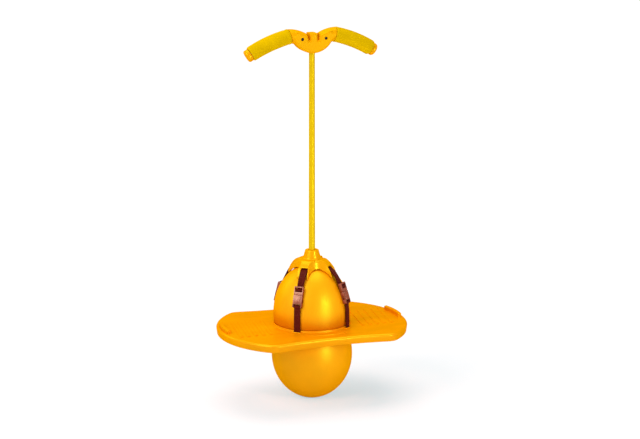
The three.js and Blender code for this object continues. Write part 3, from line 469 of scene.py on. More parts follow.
def vinyl_finish(tone):
    """Satin vinyl: faint mottling, a fine pebble and painted shade, a darker colour near the deck where
    the deck shades the ball.
    """
    f = material("ball_vinyl")
    here = f.place()
    mottle = f.noise(here, scale=14.0, detail=3.0)
    pebble = f.noise(here, scale=1500.0, detail=1.0)
    base = f.shades(mottle, tone, dark=0.93, light=1.04)
    height = f.node("ShaderNodeSeparateXYZ", None, {0: here}, "Z")
    from_deck = f.maths("ABSOLUTE", height - bpy.context.scene.pogo_deck.top)
    # Painted shade: the colour darkens towards the deck's height, standing in for the shade that the deck
    # casts on the ball.
    painted_shade = (0.66 * tone[0], 0.48 * tone[1], tone[2])
    base = f.mix(f.between(4 * MM, 45 * MM, from_deck), painted_shade, base)
    rough = 0.36 + 0.08 * f.noise(here, scale=40.0)
    return f.close(base, rough, pebble, depth=0.06 * MM, constants=NO_WHITE, gloss=(0.2, GOLD))


def deck_finish(tone):
    """Satin moulded plastic: flow marks along the deck, a fine grain and rubbed high spots."""
    f = material("deck_plastic")
    flow = f.noise(f.place((1.0, 3.0, 5.0)), scale=9.0, detail=3.0)
    grain = f.noise(f.place(), scale=900.0, detail=2.0)
    scuff = f.between(0.62, 0.75, f.noise(f.place((6.0, 1.0, 1.0)), scale=30.0, detail=4.0))
    base = f.shades(flow, tone, dark=0.9, light=1.05, low=0.25, high=0.75)
    rough = 0.28 + 0.08 * flow + 0.03 * scuff
    return f.close(base, rough, grain, depth=0.05 * MM, constants=NO_WHITE, gloss=(0.15, GOLD))


def paint_finish(tone):
    """Gloss paint on a tube, with a faint ripple along it and a few rubs."""
    f = material("rod_paint")
    ripple = f.noise(f.place((1.0, 1.0, 0.15)), scale=300.0, detail=2.0)
    rub = f.between(0.66, 0.78, f.noise(f.place((1.0, 1.0, 0.5)), scale=70.0, detail=4.0))
    base = f.mix(rub, tone, shade(tone, 0.9))
    rough = 0.24 + 0.16 * rub
    return f.close(base, rough, ripple, depth=0.03 * MM, constants=NO_WHITE, gloss=(0.14, GOLD))


def foam_finish(tone):
    """Closed-cell foam: fine cells, small pits and a dry surface."""
    f = material("grip_foam")
    here = f.place()
    cells = f.node("ShaderNodeTexVoronoi", None, {"Vector": here, "Scale": 900.0}, "Distance")
    pores = f.noise(here, scale=1400.0, detail=3.0)
    base = f.shades(f.noise(here, scale=30.0, detail=3.0), tone, dark=0.9, light=1.03)
    base = f.mix(f.between(0.55, 0.8, pores) * 0.3, base, shade(tone, 0.72))
    relief = cells * 0.5 + pores * 0.5
    return f.close(base, 0.82 + 0.1 * pores, relief, depth=0.12 * MM, constants=NO_WHITE)


def webbing_finish(tone):
    """Woven webbing: ribs along the strap crossed by picks, from the strap's own measures, with painted
    shade in the weave's hollows and a painted highlight on its raised threads.
    """
    f = material("strap_webbing")
    rib_pitch, pick_pitch = 1.25, 1.5
    measure = f.node("ShaderNodeAttribute", {"attribute_name": "weave"}, None, "Vector")
    across = f.node("ShaderNodeSeparateXYZ", None, {0: measure}, "X")
    rib = f.maths("SINE", across * (FULL_TURN / rib_pitch))
    pick = f.maths("SINE", across.beside("Y") * (FULL_TURN / pick_pitch))
    lift = f.maths("ABSOLUTE", rib * pick) * 0.7 + 0.3 * f.maths("ABSOLUTE", rib)
    fuzz = f.noise(f.place(), scale=2200.0, detail=2.0)
    # Painted shade and highlight: the colour is darker in the weave's hollows and lighter on its raised
    # threads.
    base = f.shades(lift, tone, dark=0.55, light=1.25, low=0.0, high=0.8)
    base = f.mix(f.between(0.45, 0.75, fuzz) * 0.35, base, shade(tone, 1.7))
    relief = lift + fuzz * 0.25
    faint = {"Specular IOR Level": 0.08}
    return f.close(base, 0.72 + 0.15 * fuzz, relief, depth=0.35 * MM, constants=faint)


MOULDED = {"shades": (0.92, 1.04), "clouds": (25.0, 2.0), "ripples": 260.0, "depth": 0.06 * MM}
ACETAL = {"shades": (0.82, 1.1), "clouds": (120.0, 3.0), "ripples": 700.0, "depth": 0.03 * MM}
THREAD = {"shades": (0.8, 1.2), "grains": (3000.0, 1.0), "rough": (0.6, 0.1), "depth": 0.1 * MM}
RUBBER = {"shades": (0.85, 1.0), "grains": (1200.0, 2.0), "rough": (0.6, 0.15), "depth": 0.05 * MM}
ZINC = {"shades": (0.8, 1.0), "grains": (1500.0, 2.0), "rough": (0.28, 0.15), "depth": 0.03 * MM}
BLACK = {"shades": (0.7, 1.0), "grains": (1500.0, 2.0), "rough": (0.45, 0.15), "depth": 0.03 * MM}
FINISHES = {
    "vinyl": vinyl_finish,
    "deck": deck_finish,
    "moulding": partial(clouded, "gloss_moulding", rough=(0.22, 0.1), gloss=(0.12, GOLD), **MOULDED),
    "hub": partial(clouded, "satin_moulding", rough=(0.4, 0.1), gloss=(0.05, GOLD), **MOULDED),
    "paint": paint_finish,
    "foam": foam_finish,
    "webbing": webbing_finish,
    "thread": partial(grained, "seam_thread", **THREAD),
    "buckle": partial(clouded, "buckle_acetal", rough=(0.2, 0.12), gloss=(0.12, PINK), **ACETAL),
    "rubber": partial(grained, "valve_rubber", constants=NO_WHITE, **RUBBER),
    "steel": partial(grained, "zinc_steel", constants={"Metallic": 1.0}, stretch=0.1, **ZINC),
    "black": partial(grained, "black_steel", constants={"Metallic": 0.6}, **BLACK),
}
made_finishes = {}


def finish(name):
    """The named finish, made on first use."""
    if name not in made_finishes:
        tone = tuple(getattr(bpy.context.scene.pogo_finishes, name))
        made_finishes[name] = FINISHES[name](tone)
    return made_finishes[name]


def new_object(name, data):
    """Object for a mesh, a lamp or a camera, in the scene's collection."""
    made = bpy.data.objects.new(name, data)
    bpy.context.scene.collection.objects.link(made)
    return made


@contextmanager
def editing(mesh):
    """Opens a mesh for changes to its points and faces, and writes them back."""
    work = bmesh.new()
    work.from_mesh(mesh)
    yield work
    work.to_mesh(mesh)
    work.free()


def solid(name, points, faces):
    """Object from points and faces, turned outwards."""
    mesh = bpy.data.meshes.new(name)
    mesh.from_pydata([tuple(p) for p in points], [], [tuple(f) for f in faces])
    with editing(mesh) as work:
        bmesh.ops.remove_doubles(work, verts=work.verts, dist=POINT_WELD)
        bmesh.ops.recalc_face_normals(work, faces=work.faces)
    return new_object(name, mesh)


def loft_faces(count, rings, closed):
    """Faces between rings of equal numbers of points: joined end to end where closed, or capped."""
    faces = []
    for k in range(rings if closed else rings - 1):
        here, there = k * count, ((k + 1) % rings) * count
        for i in range(count):
            j = (i + 1) % count
            faces.append((here + i, here + j, there + j, there + i))
    if not closed:
        last = (rings - 1) * count
        faces.append(tuple(range(count))[::-1])
        faces.append(tuple(range(last, last + count)))
    return faces


def loft(name, rings, closed=False):
    """Closed solid through rings: capped at its ends, or joined end to end."""
    points = np.concatenate([np.asarray(ring, float) for ring in rings])
    return solid(name, points, loft_faces(len(rings[0]), len(rings), closed))


def arc(x, y, half_x, half_y, turns):
    """Points of an ellipse about a centre, at turns from its first axis."""
    return [(x + half_x * math.cos(a), y + half_y * math.sin(a)) for a in turns]


def turns_round(sides):
    """Even turns round a circle."""
    return np.linspace(0, FULL_TURN, sides, endpoint=False)


def rounded_rectangle(x, y, half_x, half_y, radius, count):
    """Points round a rectangle with a number of points on each rounded corner."""
    found = []
    for k, (sx, sy) in enumerate(((1, 1), (-1, 1), (-1, -1), (1, -1))):
        turns = np.linspace(k * QUARTER_TURN, (k + 1) * QUARTER_TURN, count)
        found += arc(x + sx * (half_x - radius), y + sy * (half_y - radius), radius, radius, turns)
    return found


def bezier(points, share):
    """Point on the curve that a row of points pulls at, at a share of its run."""
    while len(points) > 1:
        points = [(1 - share) * a + share * b for a, b in zip(points, points[1:])]
    return points[0]


def turned(name, profile, sides=96, closed=False):
    """Solid of revolution about +Z from radius and height pairs; closed for a ring."""
    ring = np.array([(x, y, 0) for x, y in arc(0, 0, 1, 1, turns_round(sides))])
    rings = [ring * r + np.array((0, 0, z)) for r, z in profile]
    return loft(name, rings, closed)


def box(name, low, high):
    """Box between two corners."""
    corners = [(x, y, z) for z in (low[2], high[2]) for y in (low[1], high[1]) for x in (low[0], high[0])]
    faces = [(0, 2, 3, 1), (4, 5, 7, 6), (0, 1, 5, 4), (2, 6, 7, 3), (0, 4, 6, 2), (1, 3, 7, 5)]
    return solid(name, corners, faces)


def cylinder(name, radius, low, high, sides=64):
    """Cylinder about +Z."""
    return turned(name, [(radius, low), (radius, high)], sides)


def side_prism(name, outline, width):
    """Outline in the X-Z plane pulled along Y, centred on Y = 0."""
    rings = [[(x, y, z) for x, z in outline] for y in (-width / 2, width / 2)]
    return loft(name, rings)


def moved(obj, matrix):
    """Moves an object's mesh and gives the object back."""
    obj.data.transform(matrix)
    return obj


def turn_about_z(obj, radians):
    """Turns an object's mesh round the rod."""
    return moved(obj, Matrix.Rotation(radians, 4, "Z"))


def laid(place, axis):
    """Matrix that lays a piece on its side about an axis and takes it to a place."""
    return Matrix.Translation(place) @ Matrix.Rotation(QUARTER_TURN, 4, axis)


def settle(obj):
    """Turns an object with modifiers into a plain mesh."""
    bpy.context.view_layer.update()
    graph = bpy.context.evaluated_depsgraph_get()
    mesh = bpy.data.meshes.new_from_object(obj.evaluated_get(graph), depsgraph=graph)
    obj.modifiers.clear()
    obj.data = mesh
    return obj


def discard(*objects):
    """Takes objects that are no longer needed out of the scene."""
    for obj in objects:
        bpy.data.objects.remove(obj)


def merge(name, objects):
    """One object from several, with their faces side by side."""
    work = bmesh.new()
    for obj in objects:
        work.from_mesh(obj.data)
    mesh = bpy.data.meshes.new(name)
    work.to_mesh(mesh)
    work.free()
    discard(*objects)
    return new_object(name, mesh)


def combine(obj, tools, operation):
    """Boolean of an object with tools that don't need to touch each other, one after the other."""
    for tool in tools:
        change = obj.modifiers.new("combine", "BOOLEAN")
        change.operation = operation
        change.solver = "MANIFOLD"
        change.object = tool
        settle(obj)
    discard(*tools)
    return obj


def soften(obj, voxel, rounds):
    """Even skin with rounded edges, as a moulding has."""
    skin = obj.modifiers.new("skin", "REMESH")
    skin.mode = "VOXEL"
    skin.voxel_size = voxel
    ease = obj.modifiers.new("ease", "SMOOTH")
    ease.factor = 0.5
    ease.iterations = rounds
    return settle(obj)


def smooth(obj, degrees=180):
    """Smooth shading, with edges sharper than an angle kept."""
    mesh = obj.data
    mesh.polygons.foreach_set("use_smooth", [True] * len(mesh.polygons))
    if degrees < 180:
        mesh.set_sharp_from_angle(angle=math.radians(degrees))
    return obj


def dress(obj, finish_name, body, nodes=(), blend=None):
    """Gives a finished piece its material and body, and hides the nodes that it stands for."""
    obj.data.materials.clear()
    obj.data.materials.append(finish(finish_name))
    if nodes:
        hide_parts(*nodes)
    if blend is None:
        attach(obj, body)
    else:
        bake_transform(obj)
    return obj


def dress_node(node, finish_name):
    """Gives a solid that stays a finished material."""
    mesh_slots = frame["nodes"][node].data.materials
    mesh_slots.clear()
    mesh_slots.append(finish(finish_name))


def solid_copy(node, name, bevel, segments=3):
    """Copy of a solid with its flat faces joined and its edges rounded."""
    obj = new_object(name, frame["nodes"][node].data.copy())
    with editing(obj.data) as work:
        bmesh.ops.remove_doubles(work, verts=work.verts, dist=SOLID_WELD)
        bmesh.ops.dissolve_limit(work, angle_limit=FLAT, verts=work.verts, edges=work.edges)
    edge = obj.modifiers.new("edge", "BEVEL")
    edge.width = bevel
    edge.segments = segments
    edge.limit_method = "ANGLE"
    edge.angle_limit = CREASE
    settle(obj)
    return smooth(obj, degrees=50)


class Grower(Nodes):
    """A geometry node tree with named inputs for its sizes and its material."""

    def __init__(self, name, sizes):
        super().__init__(bpy.data.node_groups.new(name, "GeometryNodeTree"))
        face = self.tree.interface
        kinds = {"Geometry": "Geometry", **dict.fromkeys(sizes, "Float"), "Material": "Material"}
        self.names = {}
        for label, kind in kinds.items():
            made = face.new_socket(label, in_out="INPUT", socket_type=f"NodeSocket{kind}")
            self.names[label] = made.identifier
        face.new_socket("Geometry", in_out="OUTPUT", socket_type="NodeSocketGeometry")
        self.start = self.tree.nodes.new("NodeGroupInput")

    def given(self, label):
        """A named input of the tree."""
        return Wire(self, self.start.outputs[label])

    def finish(self, geometry):
        """Ends the tree in Realize Instances and Set Material."""
        real = self.node("GeometryNodeRealizeInstances", None, {0: geometry})
        sockets = {"Geometry": real, "Material": self.given("Material")}
        done = self.node("GeometryNodeSetMaterial", None, sockets)
        self.node("NodeGroupOutput", None, {0: done})

    def grow(self, name, mesh, finish_name, sizes):
        """Plain mesh object that the tree makes from a mesh, a finish and its sizes."""
        obj = new_object(name, mesh)
        change = obj.modifiers.new("grow", "NODES")
        change.node_group = self.tree
        for label, value in {**sizes, "Material": finish(finish_name)}.items():
            change[self.names[label]] = value
        return settle(obj)


def bar_tree():
    """Bars of a rounded section along the edges of a mesh."""
    tree = Grower("moulded bars", ("Width", "Height", "Edge"))
    path = tree.node("GeometryNodeMeshToCurve", None, {"Mesh": tree.given("Geometry")})
    path = tree.node("GeometryNodeSetCurveNormal", {"mode": "Z_UP"}, {"Curve": path})
    quad = {"Width": tree.given("Width"), "Height": tree.given("Height")}
    section = tree.node("GeometryNodeCurvePrimitiveQuadrilateral", None, quad)
    fillet = {"Curve": section, "Radius": tree.given("Edge"), "Count": 4}
    section = tree.node("GeometryNodeFilletCurve", {"mode": "POLY"}, fillet)
    bars = {"Curve": path, "Profile Curve": section, "Fill Caps": True}
    tree.finish(tree.node("GeometryNodeCurveToMesh", None, bars))
    return tree


def stitch_tree():
    """Short thread ends laid along the direction kept at each point."""
    tree = Grower("stitches", ("Length", "Thread"))
    thread = tree.given("Thread")
    ball = {"Segments": 8, "Rings": 6, "Radius": thread * 0.5}
    bead = tree.node("GeometryNodeMeshUVSphere", None, ball)
    stretch = {0: tree.given("Length") / thread, 1: 1.0, 2: 0.8}
    scale = tree.node("ShaderNodeCombineXYZ", None, stretch)
    run = tree.node("GeometryNodeInputNamedAttribute", {"data_type": "FLOAT_VECTOR"}, {"Name": "run"})
    turn = tree.node("FunctionNodeAlignRotationToVector", {"axis": "X"}, {"Vector": run})
    laid_out = {"Points": tree.given("Geometry"), "Instance": bead, "Rotation": turn, "Scale": scale}
    tree.finish(tree.node("GeometryNodeInstanceOnPoints", None, laid_out))
    return tree


def edge_mesh(name, paths):
    """Mesh of open polylines."""
    points, edges = [], []
    for path in paths:
        first = len(points)
        points += [tuple(p) for p in path]
        edges += [(i, i + 1) for i in range(first, len(points) - 1)]
    mesh = bpy.data.meshes.new(name)
    mesh.from_pydata(points, edges, [])
    return mesh


def keep_vectors(mesh, name, vectors):
    """Keeps a vector at each point of a mesh."""
    layer = mesh.attributes.new(name, "FLOAT_VECTOR", "POINT")
    layer.data.foreach_set("vector", np.array(vectors, np.float32).ravel())


def ellipse_rise(half_width, radius, height):
    """Half height that an ellipse needs to pass a radius at a height."""
    return height / math.sqrt(1 - (radius / half_width) ** 2)


def ellipse_arc(half_width, rise, centre, start, stop, steps):
    """Part of an upright ellipse on the axis, from one turn to another."""
    return arc(0, centre, half_width, rise, np.linspace(start, stop, steps + 1))


class Lobes:
    """The ball's radii and heights, and the places of the strap bars beside it."""

    def __init__(self, scene):
        ball, deck, claw = scene.pogo_ball, scene.pogo_deck, scene.pogo_claw
        self.waist = deck.hole - CLEARANCE
        self.flare = self.waist + deck.collar_chamfer
        self.upper = self.flare + ball.upper_bulge
        self.lower = self.waist + ball.lower_bulge
        self.upper_z = ball.upper_lobe
        self.top = ball.top
        self.rise = ball.top - ball.upper_lobe
        self.slot = self.upper + deck.slot_stand
        self.claw_bar = self.top_at(claw.bar_at) + claw.seat + claw.pocket

    def top_at(self, radius):
        """Height of the upper lobe at a radius."""
        return self.upper_z + self.rise * math.sqrt(1 - (radius / self.upper) ** 2)

    def radius_at(self, z):
        """Radius of the upper lobe at a height."""
        return self.upper * math.sqrt(1 - ((z - self.upper_z) / self.rise) ** 2)


def strap_angle(number):
    """Turn of a strap's plane, from where its buckle stands."""
    low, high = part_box(f"buckle_{number}_socket")
    return math.atan2(low[1] + high[1], low[0] + high[0])


class POGO_OT_ball(bpy.types.Operator):
    """Make the skin of the ball"""

    bl_idname = "pogo.ball"
    bl_label = "Ball"
    bl_options = {"REGISTER", "UNDO"}

    def execute(self, context):
        scene = context.scene
        ball, deck = scene.pogo_ball, scene.pogo_deck
        lobes = Lobes(scene)
        low_z = deck.top - deck.depth - CLEARANCE
        flare_z = deck.top + deck.collar_rise + CLEARANCE
        low_rise = ellipse_rise(lobes.lower, ball.patch, ball.lower_lobe)
        mid_rise = ellipse_rise(lobes.lower, lobes.waist, low_z - ball.lower_lobe)
        flare_rise = ellipse_rise(lobes.upper, lobes.flare, ball.upper_lobe - flare_z)
        patch_turn = -math.acos(ball.patch / lobes.lower)
        waist_turn = math.acos(lobes.waist / lobes.lower)
        flare_turn = -math.acos(lobes.flare / lobes.upper)
        near_top = math.radians(88)
        profile = [
            (0.5 * ball.patch, 0.0),
            *ellipse_arc(lobes.lower, low_rise, ball.lower_lobe, patch_turn, 0, steps=40),
            *ellipse_arc(lobes.lower, mid_rise, ball.lower_lobe, 0, waist_turn, steps=16)[1:],
            (lobes.waist, flare_z - deck.collar_chamfer),
            *ellipse_arc(lobes.upper, flare_rise, ball.upper_lobe, flare_turn, 0, steps=8),
            *ellipse_arc(lobes.upper, lobes.rise, ball.upper_lobe, 0, near_top, steps=40)[1:],
        ]
        skin = smooth(turned("ball_skin", profile, sides=128), degrees=60)
        start, end = (0, 0, 20 * MM), (0, 0, low_z - 4 * MM)
        dress(skin, "vinyl", None, ["ball"], ("ball", "board", start, end))
        return {"FINISHED"}


class POGO_OT_valve(bpy.types.Operator):
    """Make the needle valve in the back of the ball"""

    bl_idname = "pogo.valve"
    bl_label = "Valve"
    bl_options = {"REGISTER", "UNDO"}

    def execute(self, context):
        scene = context.scene
        ball = scene.pogo_ball
        lobes = Lobes(scene)
        flange, stem, needle = ball.valve_flange, 4 * MM, 0.9 * MM
        sunk, face = -6 * MM, 0.6 * MM
        profile = [
            (needle, sunk),
            (stem, sunk),
            (stem, face),
            (flange - 0.4 * MM, face),
            (flange, 0.9 * MM),
            (flange - 0.8 * MM, 1.6 * MM),
            (3.2 * MM, 1.8 * MM),
            (2.6 * MM, 1.3 * MM),
            (1.4 * MM, 1.2 * MM),
            (needle, 0.8 * MM),
        ]
        valve = turned("valve_plug", profile, sides=48, closed=True)
        radius = lobes.radius_at(ball.valve_height)
        up = (ball.valve_height - lobes.upper_z) / lobes.rise**2
        out = radius / lobes.upper**2
        tilt = math.atan2(up, out) - QUARTER_TURN
        place = Matrix.Translation((0, radius, ball.valve_height)) @ Matrix.Rotation(tilt, 4, "X")
        valve = smooth(moved(valve, place), degrees=45)
        dress(valve, "rubber", "board", ["inflation_valve"])
        return {"FINISHED"}


class DeckOutline:
    """The deck's outline: end arcs, hollow sides and rounded corners."""

    def __init__(self, deck):
        self.deck = deck
        self.end_x = deck.half_length - deck.end_radius
        self.side_y = deck.half_waist + deck.side_radius
        to_end = deck.end_radius - deck.corner_radius
        to_side = deck.side_radius + deck.corner_radius
        span = math.hypot(self.end_x, self.side_y)
        along = (to_end**2 - to_side**2 + span**2) / (2 * span)
        across = math.sqrt(to_end**2 - along**2)
        ux, uy = -self.end_x / span, self.side_y / span
        self.corner = (self.end_x + along * ux + across * uy, along * uy - across * ux)

    def points(self, inset):
        """Points round the outline, moved inwards."""
        deck = self.deck
        cx, cy = self.corner
        end_turn = math.atan2(cy, cx - self.end_x)
        side_turn = math.atan2(self.side_y - cy, cx)
        side_up = math.pi - side_turn
        corner_r, end_r = deck.corner_radius - inset, deck.end_radius - inset
        side_r = deck.side_radius + inset
        found = []

        def run(x, y, radius, start, stop, steps):
            turns = np.linspace(start, stop, steps, endpoint=False)
            found.extend(arc(x, y, radius, radius, turns))

        for side, turn in ((1, 0.0), (-1, math.pi)):
            run(side * cx, -side * cy, corner_r, turn - side_up, turn - end_turn, 20)
            run(side * self.end_x, 0, end_r, turn - end_turn, turn + end_turn, 48)
            run(side * cx, side * cy, corner_r, turn + end_turn, turn + side_up, 20)
            run(0, side * self.side_y, side_r, turn - side_turn, turn + side_turn - math.pi, 40)
        return np.array(found)

    def ring(self, inset, z):
        """The outline, moved inwards, at a height."""
        flat = self.points(inset)
        return np.column_stack([flat, np.full(len(flat), z)])

    def circle(self, radius, z):
        """As many points on a circle at a height."""
        flat = self.points(0.0)
        flat = flat / np.linalg.norm(flat, axis=1)[:, None] * radius
        return np.column_stack([flat, np.full(len(flat), z)])


class POGO_OT_deck(bpy.types.Operator):
    """Make the foot deck with its lips, treads, ribs and strap slots"""

    bl_idname = "pogo.deck"
    bl_label = "Deck"
    bl_options = {"REGISTER", "UNDO"}

    def execute(self, context):
        scene = context.scene
        deck = scene.pogo_deck
        outline = DeckOutline(deck)
        shell = self.shell(deck, outline)
        slot_r, half = Lobes(scene).slot, deck.slot_depth / 2
        low = (slot_r - half, -deck.slot_half, deck.top - deck.depth)
        high = (slot_r + half, deck.slot_half, deck.top + 2 * deck.collar_rise)
        mouldings, cutters = [], []
        for number in STRAP_NUMBERS:
            turn = strap_angle(number)
            cutters.append(turn_about_z(box("slot", low, high), turn))
            mouldings += [turn_about_z(piece, turn) for piece in self.slot_parts(deck, slot_r)]
        combine(shell, cutters, "DIFFERENCE")
        shell = merge("deck_shell", [shell, *mouldings])
        dress(smooth(shell, degrees=38), "deck", "board", ["deck"])
        self.bars(deck, outline)
        return {"FINISHED"}

    def shell(self, deck, outline):
        """Plate, rim and collar as one loft round the hole."""
        bottom, plate = deck.top - deck.depth, deck.top - deck.plate
        collar_top, flare = deck.top + deck.collar_rise, deck.hole + deck.collar_chamfer
        collar, inner = flare + deck.collar_wall, deck.rim_draft + deck.rim_wall
        small, edge, fillet, rim = 0.6 * MM, MM, 1.4 * MM, deck.rim_edge
        hole = [
            (deck.hole + small, bottom),
            (deck.hole, bottom + small),
            (deck.hole, collar_top - deck.collar_chamfer),
            (flare - small, collar_top - small),
            (flare + small, collar_top),
            *arc(collar - edge, collar_top - edge, edge, edge, DOWN_EDGE),
            *arc(collar + fillet, deck.top + fillet, -fillet, -fillet, UP_EDGE),
        ]
        skirt = [
            *arc(rim, deck.top - rim, -rim, rim, np.radians(np.linspace(90, 0, 9))),
            (deck.rim_draft, bottom + small),
            (deck.rim_draft + small, bottom),
            (inner - small, bottom),
            (inner, bottom + small),
            (inner, plate),
        ]
        rings = [outline.circle(*spot) for spot in hole]
        near, far = outline.circle(collar + fillet, deck.top), outline.ring(rim, deck.top)
        rings += [near + (far - near) * share for share in (0.25, 0.5, 0.75)]
        rings += [outline.ring(*spot) for spot in skirt]
        near, far = outline.circle(collar, plate), outline.ring(inner, plate)
        rings += [far + (near - far) * share for share in (0.33, 0.66, 1.0)]
        rings += [outline.circle(collar, bottom + small), outline.circle(collar - small, bottom)]
        return loft("deck_shell", rings, closed=True)

    def slot_parts(self, deck, slot_r):
        """Frame above one slot, and the cheeks and the bar below it."""
        base, top = deck.top - MM, deck.top + deck.slot_rise
        edge, wide, cheek, wall = 0.7 * MM, deck.slot_frame, 1.6 * MM, 1.9 * MM

        def rectangle(grow, z):
            half_x, half_y = deck.slot_depth / 2 + grow, deck.slot_half + grow
            radius = min(MM + grow, 0.9 * half_x)
            flat = rounded_rectangle(slot_r, 0, half_x, half_y, radius, count=6)
            return [(x, y, z) for x, y in flat]

        section = [
            (0, base),
            *arc(edge, top - edge, -edge, edge, UP_EDGE),
            *arc(wide - edge, top - edge, edge, edge, DOWN_EDGE),
            (wide, base),
        ]
        parts = [loft("slot_frame", [rectangle(*spot) for spot in section], closed=True)]
        bar_z, half = deck.top - deck.bar_drop, deck.slot_half
        eye = deck.bar_radius + wall
        foot, head = bar_z - deck.bar_radius - MM, deck.top - deck.plate / 2
        for side in (1, -1):
            near, far = sorted((side * half, side * (half + cheek)))
            parts.append(box("slot_cheek", (slot_r - eye, near, foot), (slot_r + eye, far, head)))
        bar = cylinder("slot_bar", deck.bar_radius, -half - MM, half + MM, sides=32)
        return [*parts, moved(bar, laid((slot_r, 0, bar_z), "X"))]

    def bars(self, deck, outline):
        """Toe lips, ring bars, treads and ribs, all grown along paths."""
        tree = bar_tree()
        sunk = MM

        def level(height):
            return deck.top + (height - sunk) / 2

        def arcs(centre_x, radius, span, turns, z, back=0.0):
            found = []
            for turn in turns:
                middle = back if turn == 0 else -back
                spread = middle + np.linspace(-span / 2, span / 2, 33)
                c, s = math.cos(turn), math.sin(turn)
                flat = arc(centre_x, 0, radius, radius, spread)
                found.append([(c * x - s * y, s * x + c * y, z) for x, y in flat])
            return found

        lip_r = deck.end_radius - deck.lip_inset - deck.lip_width / 2
        lip_z, bar_z = level(deck.lip_height), level(deck.tread_height)
        lips = arcs(outline.end_x, lip_r, deck.lip_span, (0, math.pi), lip_z, deck.lip_back)
        beside = arcs(0, deck.arc_radius, deck.arc_span, (QUARTER_TURN, -QUARTER_TURN), bar_z)
        treads = self.treads(deck, outline, bar_z)
        rib_low = deck.top - deck.depth + deck.rib_recess
        rib_high = deck.top - deck.plate + sunk
        ribs = self.ribs(deck, outline, (rib_low + rib_high) / 2)
        kinds = {
            "toe_lips": (lips, deck.lip_width, deck.lip_height + sunk, 1.8 * MM),
            "ring_bars": (beside, deck.arc_width, deck.tread_height + sunk, 0.8 * MM),
            "tread_bars": (treads, deck.tread_width, deck.tread_height + sunk, 1.1 * MM),
            "deck_ribs": (ribs, deck.rib_width, rib_high - rib_low, 0.5 * MM),
        }
        for name, (paths, width, height, edge) in kinds.items():
            sizes = {"Width": width, "Height": height, "Edge": edge}
            bars = tree.grow(name, edge_mesh(name, paths), "deck", sizes)
            dress(smooth(bars, degrees=40), "deck", "board")

    def ribs(self, deck, outline, z):
        """Lines of the ribs below, from the collar to the rim and clear of the slots."""
        collar = deck.hole + deck.collar_chamfer + deck.collar_wall - MM
        edge = outline.points(deck.rim_draft + deck.rim_wall / 2)
        turns = np.arctan2(edge[:, 1], edge[:, 0])
        paths = []
        for degrees in RIB_DEGREES:
            turn = math.radians(degrees)
            gap = np.abs(np.angle(np.exp(1j * (turns - turn))))
            reach = np.linalg.norm(edge[int(np.argmin(gap))])
            paths.append([(r * math.cos(turn), r * math.sin(turn), z) for r in (collar, reach)])
        return paths

    def treads(self, deck, outline, z):
        """Slanted tread lines that keep a free edge round the deck."""
        edge = outline.points(deck.tread_margin)
        reach = np.linalg.norm(edge, axis=1)
        turns = np.arctan2(edge[:, 1], edge[:, 0])
        order = np.argsort(turns)

        def inside(x, y):
            limit = np.interp(math.atan2(y, x), turns[order], reach[order], period=FULL_TURN)
            return math.hypot(x, y) < limit

        half = deck.tread_width / 2
        slope = math.tan(deck.tread_slant)
        ys = np.linspace(-deck.tread_length / 2, deck.tread_length / 2, 81)
        paths = []
        for side in (1, -1):
            for i in range(deck.tread_count):
                middle = deck.tread_start + i * deck.tread_pitch
                good = [y for y in ys if all(inside(middle + y * slope + dx, y) for dx in (-half, half))]
                paths.append([(side * (middle + y * slope), side * y, z) for y in good])
        return paths


